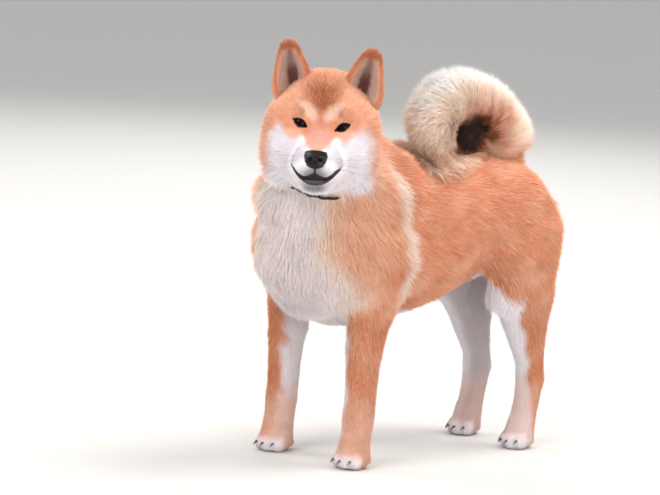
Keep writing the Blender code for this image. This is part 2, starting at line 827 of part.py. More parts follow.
def ruff_locks(tree, group, dice):
    """The ruff: rings of locks round the neck that lie down and back over the shoulders."""
    axis = neck_axis()
    path = neck_path()
    first = Vector((1, 0, 0))
    first = (first - axis * first.dot(axis)).normalized()
    second = axis.cross(first)
    for row, (station, count) in enumerate(((2.5, 9), (1.3, 10))):
        low = int(station)
        centre = path[low][0].lerp(path[low + 1][0], station - low)
        for k in range(count):
            angle = 2 * math.pi * (k + 0.5 * (row % 2) + dice.uniform(-0.1, 0.1)) / count
            out = first * math.cos(angle) + second * math.sin(angle)
            coat_lock(tree, centre, out, -axis, 84, 68, group, dice)


def breeches_locks(tree, group, dice):
    """The feathered back of each thigh."""
    for side, sign in SIDES:
        x, y = FEET[("hind", side)]
        for row in range(2):
            for column in range(2):
                start = mm(x + sign * (12 - 24 * column), y - 14, 276 - 40 * row - 18 * column)
                coat_lock(tree, start, Vector((0, 1, 0)), Vector((0, 0.05, -1)), 66, 42, group, dice)


def bib_locks(tree, group, dice):
    """The deep soft coat on the front of the chest."""
    for row in range(2):
        for column in range(4 - row):
            across = 44 * (column - 1.5 + 0.5 * row)
            start = mm(across, -150, 262 - 36 * row - 0.15 * abs(across))
            coat_lock(tree, start, Vector((0.002 * across, -1, 0)), Vector((0, 0.1, -1)), 64, 60, group, dice)


# Parting the whole into its nodes


def split(item, point, normal, name, group):
    """Parts the object with a cut as wide as the gap, and returns the piece on the side of the normal."""
    piece = evaluated_copy(item, name, group)
    trim(piece, half_space(point + normal * GAP / 2, normal, group), "INTERSECT", "MANIFOLD")
    trim(item, half_space(point - normal * GAP / 2, -normal, group), "INTERSECT", "MANIFOLD")
    return piece


def prism(profile, low, high, group, grow=0.0):
    """A block with a profile in y and z, from one x to another, in millimetres."""
    shape = bmesh.new()
    first = [shape.verts.new(mm(low, y, z)) for y, z in profile]
    second = [shape.verts.new(mm(high, y, z)) for y, z in profile]
    shape.faces.new(first)
    shape.faces.new(second[::-1])
    for k in range(len(profile)):
        n = (k + 1) % len(profile)
        shape.faces.new((first[k], second[k], second[n], first[n]))
    bmesh.ops.recalc_face_normals(shape, faces=shape.faces)
    shape.normal_update()
    for vertex in shape.verts:
        # A corner's normal leans over three faces, so the faces move out by less than the corner does.
        vertex.co += vertex.normal * grow * 1.75
    return to_object(shape, "block", group)


def split_leg(torso, profile, sign, inner, name, group):
    """Parts a leg from the torso inside a block, which reaches outwards from its inner side."""
    piece = evaluated_copy(torso, name, group)
    trim(piece, prism(profile, sign * inner, sign * 140, group), "INTERSECT", "MANIFOLD")
    trim(torso, prism(profile, sign * inner, sign * 140, group, GAP), "DIFFERENCE", "MANIFOLD")
    return piece


def claw_shapes(x, y, scale):
    """Four short curved claws, each from inside its toe to its blunt tip."""
    shapes = []
    for tx, ty, size in toe_places(x, y, scale):
        front = ty - size * 1.25
        stations = []
        for ahead, height, radius in ((-5.0, 12.0, 2.2), (1.5, 11.8, 2.2), (7.0, 6.4, 0.7)):
            centre = mm(tx, front - ahead * CLAW_LENGTH / 12, height)
            stations.append((centre, mm(radius * 0.8, 0, 0), mm(0, 0, radius), mm(0, 0, radius), 2))
        shapes.append(loft(stations, 5))
    return shapes


def clear_of(item, others, group, gap=GAP):
    """Cuts the object clear of its finished neighbours by the gap."""
    for other in others:
        trim(item, inflated(other, gap, group), "DIFFERENCE")


def centre_on_origin(nodes):
    """Puts the origin on the floor under the middle of the whole model's box."""
    lows = [min(vertex.co[axis] for node in nodes for vertex in node.data.vertices) for axis in range(3)]
    highs = [max(vertex.co[axis] for node in nodes for vertex in node.data.vertices) for axis in range(3)]
    shift = Vector((-(lows[0] + highs[0]) / 2, -(lows[1] + highs[1]) / 2, -lows[2]))
    for node in nodes:
        node.data.transform(Matrix.Translation(shift))


def leg_parts(torso, group):
    """Parts each leg from the torso, and its foot and upper leg from it."""
    up = Vector((0, 0, 1))
    pieces = {}
    for side, sign in SIDES:
        fore_profile = ((-205, -10), (-205, 182), (-55, 182), (-55, -10))
        leg = split_leg(torso, fore_profile, sign, 30, "leg", group)
        pieces["foreleg_" + side] = split(leg, mm(0, 0, 58), up, "upper", group)
        pieces["forepaw_" + side] = leg
        hind_profile = ((70, -10), (70, 205), (245, 262), (245, -10))
        leg = split_leg(torso, hind_profile, sign, 3, "leg", group)
        upper = split(leg, mm(0, 0, 56), up, "upper", group)
        pieces["hindpaw_" + side] = leg
        pieces["thigh_" + side] = split(upper, mm(0, 0, 165), up, "upper", group)
        pieces["shank_" + side] = upper
    return pieces


def claw_parts(pieces, group):
    made = {}
    for (place, side), (x, y) in FEET.items():
        scale = 1.0 if place == "fore" else 0.94
        paw = pieces[place + "paw_" + side]
        for k, shape in enumerate(claw_shapes(x, y - 6, scale)):
            name = "claw_" + place + "_" + side + "_" + str(k + 1)
            claw = to_object(shape, name, group)
            trim(paw, inflated(claw, GAP, group), "DIFFERENCE", "MANIFOLD")
            made[name] = claw
    return made


def tail_parts(torso, path, group):
    """The tail in three lengths, parted through the middle of its curl."""
    tail = to_object(tail_core(path), "tail", group)
    locks = collection("tail_locks")
    tail_locks(path, locks, random.Random(SEED))
    join_locks(tail, locks)
    for gap in (GAP, 0):
        trim(tail, inflated(torso, gap, group, weld=0), "DIFFERENCE", "MANIFOLD")
    hub = mm(0, 84, 405)
    middle = split(tail, hub, Vector((0, -0.5, 0.87)).normalized(), "middle", group)
    end = split(middle, hub, Vector((0.1, -0.9, -0.1)).normalized(), "end", group)
    return {"tail_root": tail, "tail_middle": middle, "tail_end": end}


def main():
    clear_scene()
    parts = collection("shiba_inu")
    work = collection("cutters")
    finishes = {
        "red": material("red_coat", (0.76, 0.40, 0.19), 0.85),
        "cream": material("cream_coat", (0.88, 0.80, 0.70), 0.85),
        "claw": material("dark_claw", (0.10, 0.08, 0.07), 0.45),
        "nose": material("black_nose_leather", (0.02, 0.02, 0.022), 0.45),
        "eye": material("dark_brown_eye", (0.03, 0.015, 0.01), 0.08),
        "cord": material("black_collar_cord", (0.03, 0.03, 0.03), 0.6),
    }
    dice = random.Random(SEED)
    pieces = {}

    body = body_skin(work)
    tree = skin_tree(body)
    locks = collection("body_locks")
    ruff_locks(tree, locks, dice)
    breeches_locks(tree, locks, dice)
    bib_locks(tree, locks, dice)
    join_locks(body, locks)
    neck = split(body, *shoulder_cut(), "neck", work)
    point, normal = head_cut()
    trim(neck, half_space(point - normal * GAP / 2, -normal, work), "INTERSECT", "MANIFOLD")
    pieces.update(leg_parts(body, work))
    pieces.update(claw_parts(pieces, work))
    pieces["torso"] = body
    pieces["neck"] = neck

    head = head_skin(work)
    tree = skin_tree(head)
    lips = lip_parts(head, work)
    pieces["collar"] = collar_part(tree, work)
    thin(head, HEAD_TRIANGLES)
    for side, sign in SIDES:
        pieces["ear_" + side] = ear_part(side, sign, work)
        clear_of(pieces["ear_" + side], [head], work)
    pieces["nose"] = nose_part(work)
    clear_of(head, [pieces["nose"], *lips.values()], work)
    pieces.update(eye_parts(head, tree, work))
    trim(head, half_space(point + normal * GAP / 2, normal, work), "INTERSECT")
    clear_of(lips["lip_lower"], [lips["lip_upper"]], work)
    pieces.update(lips)
    pieces["head"] = head
    trim(neck, inflated(pieces["collar"], GAP, work), "DIFFERENCE", "MANIFOLD")
    pieces.update(tail_parts(body, smooth_path(tail_path(), 2), work))

    coats = {"claw": "claw", "eye": "eye", "nose": "nose", "lip": "nose", "collar": "cord", "tail": "cream",
             "forepaw": "cream", "hindpaw": "cream"}
    nodes = []
    for name, piece in pieces.items():
        finish = coats.get(name.split("_")[0], "red")
        nodes.append(finish_node(piece, name, parts, finishes[finish]))
    centre_on_origin(nodes)


main()
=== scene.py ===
# %% [markdown]
# # A shiba inu, standing, life size
# The dog is a still model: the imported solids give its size, stance and proportions, and this script
# gives it skin, eyes, nose leather, claws and a coat. A shiba has a double coat: a pale woolly
# undercoat, and over it straight guard hairs that stand slightly off the body. We build the skin as
# one closed surface, sink it under the solids by the depth of the coat, and then root 370,000 small
# tufts in it that follow the lie of the hair.

# %% The fixed frame and the tools
import math

import bmesh
import bpy
import numpy as np
from mathutils import Matrix, Vector
from mathutils.bvhtree import BVHTree


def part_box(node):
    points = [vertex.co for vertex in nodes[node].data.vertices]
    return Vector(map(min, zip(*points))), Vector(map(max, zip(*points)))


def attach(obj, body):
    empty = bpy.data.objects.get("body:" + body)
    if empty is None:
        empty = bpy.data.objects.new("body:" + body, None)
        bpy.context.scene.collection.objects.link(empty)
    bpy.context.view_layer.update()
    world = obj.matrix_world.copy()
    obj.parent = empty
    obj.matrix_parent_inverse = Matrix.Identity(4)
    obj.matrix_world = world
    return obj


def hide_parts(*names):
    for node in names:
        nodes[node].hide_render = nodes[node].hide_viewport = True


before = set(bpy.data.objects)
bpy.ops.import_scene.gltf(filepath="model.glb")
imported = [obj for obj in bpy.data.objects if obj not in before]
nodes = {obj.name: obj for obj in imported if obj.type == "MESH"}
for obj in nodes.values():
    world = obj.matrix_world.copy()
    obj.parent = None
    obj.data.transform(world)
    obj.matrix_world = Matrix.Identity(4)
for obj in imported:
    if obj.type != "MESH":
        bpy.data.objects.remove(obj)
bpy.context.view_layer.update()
MM = 0.001


def mm(*values):
    return Vector(values) * MM


def placed(name, data):
    """A new object in the scene, at the origin."""
    made = bpy.data.objects.new(name, data)
    bpy.context.scene.collection.objects.link(made)
    return made


# %% [markdown]
# Two rulers are handy. The dog's own ruler starts on the floor between its legs, with the dog facing
# -Y. The head has a second one, because it is turned to the dog's left: x to the dog's left, y into
# the face, z up, from the middle of the skull. The left eye of the solids tells where both lie.

# %% Two rulers, in millimetres
EYE = (28.3, -35.5, -15.0)
EYE_RADIUS = 12.0
HEAD_TURN = (Matrix.Translation(mm(34, -190, 442)) @ Matrix.Rotation(math.radians(46.7), 4, "Z")
             @ Matrix.Rotation(math.radians(-9.2), 4, "X") @ Matrix.Rotation(math.radians(0.3), 4, "Y"))
eye_low, eye_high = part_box("eye_left")
ORIGIN = (eye_low + eye_high) / 2 - HEAD_TURN @ mm(*EYE)
BODY = Matrix.Translation(ORIGIN)
HEAD = BODY @ HEAD_TURN
# The head's own directions: to its left, into the face and up.
HEAD_LEFT, HEAD_BACK, HEAD_UP = (HEAD.to_3x3() @ Vector(way) for way in ((1, 0, 0), (0, 1, 0), (0, 0, 1)))


def measured(points, ruler):
    """World points, as an array in metres, read off one of the rulers in millimetres."""
    back = np.array(ruler.inverted())
    return (points @ back[:3, :3].T + back[:3, 3]) / MM


print("the dog's ruler starts at", [round(value / MM, 1) for value in ORIGIN], "mm")

# %% [markdown]
# The camera comes early, so that every draft can be looked at. It stands 4.5 m away with a long lens,
# a little above the back, and is tilted slightly, as a hand-held camera is.

# %% Camera
lens_data = bpy.data.cameras.new("camera")
lens_data.sensor_width = 36
lens_data.lens = 190.23
lens_data.clip_end = 60
camera = placed("camera", lens_data)
view_right = Vector((0.63583, 0.76984, 0.05528))
view_up = Vector((-0.14233, 0.04656, 0.98872))
view_back = Vector((0.75859, -0.63653, 0.13917))
turn = Matrix((view_right, view_up, view_back)).transposed().to_4x4()
camera.matrix_world = Matrix.Translation(ORIGIN + Vector((3.34405, -2.94542, 0.88507))) @ turn
bpy.context.scene.camera = camera
print("camera at", [round(value, 2) for value in camera.matrix_world.translation], "m")

# %% [markdown]
# Shapes that nature grows smoothly are easiest to begin as overlapping eggs and tubes, which a voxel
# remesh then melts into one skin. A tube through unlike sections is a row of circles, each shaped
# and placed, and bridged to the next.

# %% Eggs and tubes for flesh


def egg(shape, ruler, centre, radii, tilt=0.0, axis="X"):
    """An ellipsoid added to a bmesh, its centre and radii in millimetres on a ruler."""
    place = (ruler @ Matrix.Translation(mm(*centre)) @ Matrix.Rotation(math.radians(tilt), 4, axis)
             @ Matrix.Diagonal((*mm(*radii), 1)))
    bmesh.ops.create_uvsphere(shape, u_segments=32, v_segments=20, radius=1, matrix=place)


def loft(shape, stations, sides=36):
    """A closed tube through unlike sections. A station is a centre, a half width and a half height along
    two vectors, and a power that makes it rounder or squarer."""
    rings = []
    for centre, wide, high, power in stations:
        made = bmesh.ops.create_circle(shape, segments=sides, radius=1, cap_ends=False)["verts"]
        for corner in made:
            c, s = corner.co.x, corner.co.y
            u = math.copysign(abs(c) ** (2 / power), c)
            v = math.copysign(abs(s) ** (2 / power), s)
            corner.co = centre + wide * u + high * v
        rings.append({edge for corner in made for edge in corner.link_edges})
    for near, far in zip(rings, rings[1:]):
        bmesh.ops.bridge_loops(shape, edges=[*near, *far])
    for end in (rings[0], rings[-1]):
        bmesh.ops.contextual_create(shape, geom=list(end))


def lengthwise(ruler, rows, power=2.3):
    """Stations along y from rows of y, x, top, bottom and half width, in millimetres."""
    turn = ruler.to_3x3()
    return [(ruler @ mm(x, y, (top + bottom) / 2), turn @ mm(half, 0, 0),
             turn @ mm(0, 0, (top - bottom) / 2), power) for y, x, top, bottom, half in rows]


def upright(x, y, mirror, rows, power=2.1):
    """Stations down a leg from rows of z, then x and y off the foot, half width and half length."""
    return [(BODY @ mm(x + mirror * dx, y + dy, z), mm(wide, 0, 0), mm(0, long, 0), power)
            for z, dx, dy, wide, long in rows]


print("ready: egg, loft")

# %% From shapes to objects


def as_object(shape, name):
    """A bmesh as a new object of the scene."""
    mesh = bpy.data.meshes.new(name)
    shape.to_mesh(mesh)
    shape.free()
    return placed(name, mesh)


def smooth_shaded(item):
    item.data.polygons.foreach_set("use_smooth", np.ones(len(item.data.polygons), bool))
    return item


def evaluated_mesh(item):
    """The mesh that an object's modifiers, or a curve's thickness, make of it."""
    bpy.context.view_layer.update()
    return bpy.data.meshes.new_from_object(item.evaluated_get(bpy.context.evaluated_depsgraph_get()))


def apply_modifiers(item):
    mesh = evaluated_mesh(item)
    item.modifiers.clear()
    item.data = mesh


def melted(item, voxel, times=0):
    """Melts overlapping shapes into one skin by a voxel remesh, and eases it a number of times."""
    melt = item.modifiers.new("melt", "REMESH")
    melt.mode = "VOXEL"
    melt.voxel_size = voxel * MM
    ease = item.modifiers.new("ease", "SMOOTH")
    ease.factor = 0.5
    ease.iterations = times
    apply_modifiers(item)
    return item


def tube_mesh(points, radius, rounding, order, closed=False):
    """The mesh of a round tube along a smooth curve. A point is a place and its share of the radius."""
    curve = bpy.data.curves.new("tube", "CURVE")
    curve.dimensions = "3D"
    curve.bevel_depth = radius * MM
    curve.bevel_resolution = rounding
    curve.use_fill_caps = not closed
    spline = curve.splines.new("NURBS")
    spline.points.add(len(points) - 1)
    for slot, (place, share) in zip(spline.points, points):
        slot.co = (*place, 1)
        slot.radius = share
    spline.use_cyclic_u = closed
    spline.use_endpoint_u = not closed
    spline.order_u = order
    guide = placed("tube_guide", curve)
    mesh = evaluated_mesh(guide)
    bpy.data.objects.remove(guide)
    return mesh


WELD = 0.01


def merged_copy(name, grow=0.0):
    """A bmesh of a solid with its loose triangles joined, grown outwards by some millimetres."""
    shape = bmesh.new()
    shape.from_mesh(nodes[name].data)
    bmesh.ops.remove_doubles(shape, verts=shape.verts, dist=WELD * MM)
    shape.normal_update()
    moves = [corner.normal * grow * MM for corner in shape.verts]
    for corner, move in zip(shape.verts, moves):
        corner.co += move
    return shape


print("ready: tube_mesh, melted, merged_copy")

# %% [markdown]
# The skull of a shiba is broad, with full cheeks and a short, round muzzle that narrows to the nose.
# We repeat its sections here, finer than in the solids, because the face gets the closest look.

# %% Head flesh
flesh = bmesh.new()
loft(flesh, lengthwise(HEAD, [
    (82, 0, 20, -30, 22), (70, 0, 41, -54, 48), (48, 0, 54, -76, 66), (20, 0, 61, -90, 74),
    (-4, 0, 61, -92, 76), (-22, 0, 53, -92, 72), (-36, 0, 38, -90, 62), (-47, 0, 16, -90, 48),
    (-54, 0, -4, -90, 36),
]))
loft(flesh, lengthwise(HEAD, [
    (-30, 0, 4, -96, 48), (-46, 0, -10, -98, 42), (-58, 0, -21, -97, 36), (-70, 0, -29, -95, 32),
    (-82, 0, -36, -91, 29), (-92, 0, -41, -85, 25), (-100, 0, -46, -78, 17),
]))
egg(flesh, HEAD, (0, -56, -86), (25, 36, 14))
for side in (1, -1):
    egg(flesh, HEAD, (side * 40, 6, -44), (37, 46, 50))
    egg(flesh, HEAD, (side * 14, -88, -66), (15.5, 17, 13.5))
    egg(flesh, HEAD, (side * 25, -36, 6), (17, 14, 11))
print("head flesh:", len(flesh.faces), "faces")

# %% [markdown]
# Under its coat a shiba is a compact, square dog: a deep chest, a level back and a tucked-up loin. The
# trunk, the arched neck, the legs and the toes are tubes and eggs that overlap, at the sizes that the
# solids have over the coat.

# %% Trunk and neck
loft(flesh, lengthwise(BODY, [
    (-228, 0, 318, 262, 34), (-216, 0, 346, 222, 66), (-190, 0, 374, 190, 88), (-150, 0, 390, 174, 98),
    (-100, 0, 394, 172, 100), (-50, 0, 391, 180, 100), (0, 0, 389, 194, 97), (50, 0, 386, 213, 93),
    (95, 0, 385, 229, 90), (135, 0, 382, 240, 89), (161, 0, 374, 243, 83), (182, 0, 354, 250, 68),
    (195, 0, 328, 260, 44), (201, 0, 318, 272, 22),
], 2.2))
egg(flesh, BODY, (-10, -172, 338), (80, 60, 56), 20)
egg(flesh, BODY, (0, -190, 268), (62, 42, 62))
egg(flesh, BODY, (0, 156, 300), (84, 47, 60))
# The neck: x, y and z, half width and half depth, from the shoulders up into the skull.
NECK = [(0, -92, 300, 94, 98), (4, -120, 340, 94, 94), (11, -145, 374, 88, 86),
        (20, -167, 404, 78, 77), (28, -182, 430, 66, 64), (33, -188, 450, 50, 50)]
stations = []
for k, (x, y, z, wide, deep) in enumerate(NECK):
    before, after = NECK[max(0, k - 1)], NECK[min(len(NECK) - 1, k + 1)]
    forward = (Vector(after[:3]) - Vector(before[:3])).normalized()
    twist = math.radians(46.7) * k / (len(NECK) - 1)
    across = Vector((math.cos(twist), math.sin(twist), 0))
    across = (across - forward * across.dot(forward)).normalized()
    stations.append((BODY @ mm(x, y, z), across * wide * MM, forward.cross(across) * deep * MM, 2))
loft(flesh, stations)
print("trunk and neck:", len(flesh.faces), "faces")

# %% Legs and toes
FORELEG = [(300, -8, 22, 27, 40), (262, -1, 16, 34, 48), (228, 2, 12, 32, 45), (202, 1, 10, 28.5, 37),
           (176, 0, 6, 25.5, 30), (146, 0, 3, 23, 25.5), (112, 0, 2, 21, 22.5), (84, 0, 1, 20.5, 21.5),
           (68, 0, 0, 21, 21.5), (50, 0, -1, 20, 20.5), (34, 0, -3, 20, 21), (16, 0, -5, 21, 23)]
HINDLEG = [(340, -8, -16, 26, 44), (305, 3, -24, 37, 62), (268, 6, -27, 38, 65), (236, 6, -26, 34, 60),
           (206, 5, -20, 30, 53), (178, 3, -12, 26, 42), (152, 2, -5, 22, 32), (130, 1, 1, 19.5, 26),
           (110, 0, 7, 18, 21.5), (90, 0, 9, 18.5, 20.5), (70, 0, 7, 17.5, 18.5), (48, 0, 3, 17.5, 18),
           (32, 0, -1, 18.5, 19.5), (16, 0, -4, 19.5, 21.5)]
TOES = ((-16.0, -6, 9.6), (-6.0, -14, 10.6), (6.0, -14, 10.6), (16.0, -6, 9.6))
FEET = (("fore", 64, -131), ("fore", -68, -150), ("hind", 55, 160), ("hind", -47, 158))
for place, x, y in FEET:
    mirror = 1 if x > 0 else -1
    if place == "fore":
        loft(flesh, upright(x, y, mirror, FORELEG))
        egg(flesh, BODY, (x + mirror, y + 33, 204), (16, 13, 19))
    else:
        loft(flesh, upright(x, y, mirror, HINDLEG))
        egg(flesh, BODY, (x, y + 23, 98), (11, 10, 17), 18)
        egg(flesh, BODY, (x + 5 * mirror, y - 54, 216), (23, 27, 36), 22)
    scale = 1.0 if place == "fore" else 0.94
    egg(flesh, BODY, (x, y - 4, 11), (22 * scale, 24 * scale, 12))
    egg(flesh, BODY, (x, y - 4, 20), (20 * scale, 20 * scale, 14))
    for across, ahead, size in TOES:
        centre = (x + across * scale, y - 6 + ahead * scale, 10)
        egg(flesh, BODY, centre, (size * 0.86 * scale, size * 1.28 * scale, 11.5))
print("with legs and toes:", len(flesh.faces), "faces")

# %% Core of the tail
# A thin pad on the far side closes the curl, where the hair of both its arms meets.
egg(flesh, BODY, (2, 80, 410), (8, 36, 32))
TAIL_ROWS = (
    (0, 142, 352, 1.0), (0, 146, 374, 1.1), (0, 141, 394, 1.1), (0, 129, 413, 1.05),
    (1, 110, 432, 1.0), (2, 84, 446, 1.0), (5, 54, 450, 1.0), (10, 28, 442, 0.96),
    (17, 12, 426, 0.9), (25, 9, 410, 0.78), (33, 17, 398, 0.45),
)
TAIL_CORE = 25.0
flesh.from_mesh(tube_mesh([(BODY @ mm(x, y, z), share) for x, y, z, share in TAIL_ROWS], TAIL_CORE, 6, 4))
print("flesh, all together:", len(flesh.faces), "faces")

# %% [markdown]
# A voxel remesh turns all of it into one even skin. Smoothing then eases the creases where shapes
# meet: strongly on the trunk, and only a little on the head, feet and tail, where shape is small.

# %% One skin
VOXEL = 3.2
skin = melted(as_object(flesh, "skin"), VOXEL)


def points_of(item):
    flat = np.empty(len(item.data.vertices) * 3, np.float64)
    item.data.vertices.foreach_get("co", flat)
    return flat.reshape(-1, 3)


def set_points(item, points):
    item.data.vertices.foreach_set("co", points.astype(np.float32).ravel())
    item.data.update()


def ramp(values, low, high):
    """0 below low, 1 above high and a smooth step between."""
    t = np.clip((values - low) / (high - low), 0, 1)
    return t * t * (3 - 2 * t)


def fall(values, low, high):
    """1 below low, 0 above high and a smooth step between."""
    return ramp(-values, -high, -low)


def head_share(q):
    """How much a point, on the head's ruler, belongs to the head: 1 there and 0 on the neck."""
    above_cut = (q[:, 1] + 20) * -0.6 + (q[:, 2] + 94) * 0.8
    return ramp(above_cut, -6, 10) * (np.linalg.norm(q, axis=1) < 150)


def tail_share(p):
    """1 on the tail and 0 on the croup, on the dog's ruler."""
    raised = p[:, 2] - (376 + 0.12 * (p[:, 1] - 80))
    return ramp(raised, 0, 14) * (p[:, 1] > -20) * (np.abs(p[:, 0]) < 75)


def smooth(item, weights, times):
    group = item.vertex_groups.new(name="weights")
    steps = np.round(weights * 10).astype(int)
    for step in range(1, 11):
        group.add(np.flatnonzero(steps == step).tolist(), step / 10, "REPLACE")
    ease = item.modifiers.new("ease", "SMOOTH")
    ease.factor = 0.6
    ease.iterations = times
    ease.vertex_group = group.name
    apply_modifiers(item)
    item.vertex_groups.clear()


p = measured(points_of(skin), BODY)
q = measured(points_of(skin), HEAD)
trunk = (1 - head_share(q)) * (1 - tail_share(p)) * ramp(p[:, 2], 60, 150)
smooth(skin, np.ones(len(p)), 5)
smooth(skin, trunk, 14)
print("skin:", len(skin.data.vertices), "points")

# %% [markdown]
# The face needs finer detail than the voxels give, so its front is subdivided once more. Then it is
# modelled by pressing: each press moves the skin near a point and fades out with distance.

# %% Finer skin on the face
face = bmesh.new()
face.from_mesh(skin.data)
to_head = HEAD.inverted()
front = []
for polygon in face.faces:
    x, y, z = (to_head @ polygon.calc_center_median()) / MM
    if y < -18 and abs(x) < 58 and -100 < z < 36:
        front.append(polygon)
edges = list(dict.fromkeys(edge for polygon in front for edge in polygon.edges))
bmesh.ops.subdivide_edges(face, edges=edges, cuts=1, use_grid_fill=True)
bmesh.ops.triangulate(face, faces=[polygon for polygon in face.faces if len(polygon.verts) > 4])
face.to_mesh(skin.data)
face.free()
q = measured(points_of(skin), HEAD)
face_weight = (q[:, 1] < -16) * (np.abs(q[:, 0]) < 62) * (q[:, 2] > -104) * (q[:, 2] < 40) * 1.0
smooth(skin, face_weight, 5)
print("skin with a finer face:", len(skin.data.polygons), "faces")

# %% Presses on the face
# Each row: place x, y, z and reach, then how far the skin moves, all on the head's ruler.
PRESSES = [
    (0, -56, 8, 28, 0, 3.0, 0),
    (30, -48, -15, 20, 0, 2.4, 0), (19, -53, -20, 13, 0, 3.5, 0),
    (33, -66, -42, 15, -2.5, 1.5, 0), (62, -14, -50, 30, 3, -2, 0),
    (24, -52, 4, 13, 0, -2.2, 0.6), (30, -50, -27, 10, 0, -1.6, 0.4),
    (44, -42, -44, 18, 1.0, -2.5, 0), (15, -92, -70, 13, 1.2, -1.0, -0.6),
    (57, -14, 44, 46, 0, 3, -15), (78, -2, 14, 38, -5, 0, 0), (80, -2, -60, 30, -2, 0, 0),
]


def pressed(q, presses, sides=(1, -1)):
    moved = q.copy()
    for x, y, z, reach, *move in presses:
        for side in (sides if x else (1,)):
            away = np.linalg.norm(q - (side * x, y, z), axis=1) / reach
            fade = np.where(away < 1, (1 - away ** 2) ** 2, 0)
            moved += fade[:, None] * np.array((side * move[0], move[1], move[2]))
    return moved


# On the dog's ruler: the tuck of the flank, the hollow behind the shoulder and the upper arm.
BODY_PRESSES = [
    (100, 62, 236, 62, -9, 0, 6), (98, -60, 300, 48, -4, 0, 0), (90, -130, 268, 55, 5, 0, 0),
    (0, -84, 424, 60, 0, -8, -8),
]
# The head turns to the left, so the neck is hollowed on that side alone.
LEFT_PRESSES = [(76, -104, 412, 66, -12, -14, -10)]
# Grooves between the toes.
GROOVES = [(x + across, y - 24, 9, 8, 0, 5, 0) for _, x, y in FEET for across in (-11, 0, 11)]


def in_world(points, ruler):
    """Points on a ruler, in millimetres, as world points in metres."""
    matrix = np.array(ruler)
    return (points * MM) @ matrix[:3, :3].T + matrix[:3, 3]


set_points(skin, in_world(pressed(measured(points_of(skin), HEAD), PRESSES), HEAD))
p = pressed(pressed(measured(points_of(skin), BODY), BODY_PRESSES), LEFT_PRESSES, (1,))
set_points(skin, in_world(pressed(p, GROOVES, (1,)), BODY))
smooth(skin, ramp(p[:, 1], 140, 165) * ramp(p[:, 2], 215, 250) * (1 - tail_share(p)), 24)
q = measured(points_of(skin), HEAD)
crown = ramp(q[:, 2], 10, 24) * ramp(-np.linalg.norm(q - (0, -6, 10), axis=1), -100, -90)
smooth(skin, crown * (1 - tail_share(measured(points_of(skin), BODY))), 14)
print("presses:", len(PRESSES) + len(BODY_PRESSES) + len(LEFT_PRESSES))

# %% [markdown]
# The coat's chart says how the hair lies. Each row is a place on the body and, for that place, the way
# the hair points, its length and how far its tips stand off the skin. Between the rows the values are
# blended, and the right side mirrors the left. The head has a chart of its own, where the hair starts
# at the nose and runs back over the face, as it does on every dog.

# %% The coat's chart
# x, y, z, reach, then the hair's direction x, y, z, its length and its depth, in millimetres.
BODY_CHART = [
    (25, -120, 420, 45, 0.1, 0.8, -0.6, 24, 9), (0, -70, 392, 50, 0, 1, -0.1, 23, 7.0),
    (0, 20, 386, 60, 0, 1, 0, 21, 5.5), (0, 110, 382, 45, 0, 0.95, -0.1, 21, 5.5),
    (60, -20, 365, 45, 0.1, 0.95, -0.3, 22, 5.5), (60, 80, 360, 45, 0.05, 0.9, -0.4, 21, 5.5),
    (100, -60, 290, 55, 0, 0.85, -0.5, 24, 6.5), (98, 20, 290, 55, 0, 0.9, -0.45, 22, 5.5),
    (95, 95, 290, 55, 0, 0.8, -0.6, 22, 6.0), (80, -40, 215, 40, 0, 0.8, -0.6, 24, 7.0),
    (70, 40, 225, 40, 0, 0.85, -0.5, 24, 7.0), (0, -20, 180, 60, 0, 1, -0.1, 17, 5.0),
    (70, 88, 225, 26, 0, 0.5, -0.85, 32, 8.0), (95, 145, 265, 45, 0, 0.5, -0.85, 23, 6.5),
    (60, 196, 270, 40, 0.1, 0.35, -0.95, 30, 9.0), (20, 198, 320, 40, 0.1, 0.45, -0.9, 26, 8.0),
    (30, 178, 235, 40, 0, 0.4, -0.9, 26, 8.0), (72, 140, 190, 40, 0, 0.4, -0.9, 17, 4.5),
    (66, 150, 130, 35, 0, 0.25, -1, 11, 3.0), (56, 160, 70, 35, 0, 0.1, -1, 8, 2.2),
    (56, 180, 95, 16, 0, 0.3, -1, 11, 3.0), (55, 138, 26, 26, 0, -0.9, -0.5, 5.5, 1.5),
    (20, 150, 200, 35, -0.1, 0.2, -1, 15, 4.0), (102, -120, 310, 45, 0, 0.5, -0.85, 27, 8.0),
    (92, -140, 240, 40, 0, 0.2, -1, 19, 5.0), (84, -130, 180, 30, 0, 0.15, -1, 13, 3.5),
    (66, -140, 120, 40, 0, 0.05, -1, 10, 2.7), (66, -105, 150, 22, 0, 0.4, -0.9, 14, 3.5),
    (66, -135, 55, 28, 0, 0, -1, 7.5, 2.0), (64, -158, 20, 26, 0, -0.9, -0.5, 5.5, 1.5),
    (0, -232, 300, 50, 0, -0.1, -1, 29, 7.5), (45, -222, 290, 40, 0.3, 0.0, -1, 29, 8.0),
    (20, -215, 225, 38, 0.1, 0.3, -1, 24, 6.5), (80, -185, 240, 35, 0.2, 0.2, -1, 22, 6.5),
    (30, -165, 180, 40, 0, 0.8, -0.6, 18, 5.0), (60, -215, 345, 40, 0.2, -0.1, -1, 29, 9.5),
    (95, -165, 350, 45, 0.2, 0.4, -0.9, 30, 10.0), (95, -110, 370, 40, 0.1, 0.75, -0.7, 28, 9.0),
]
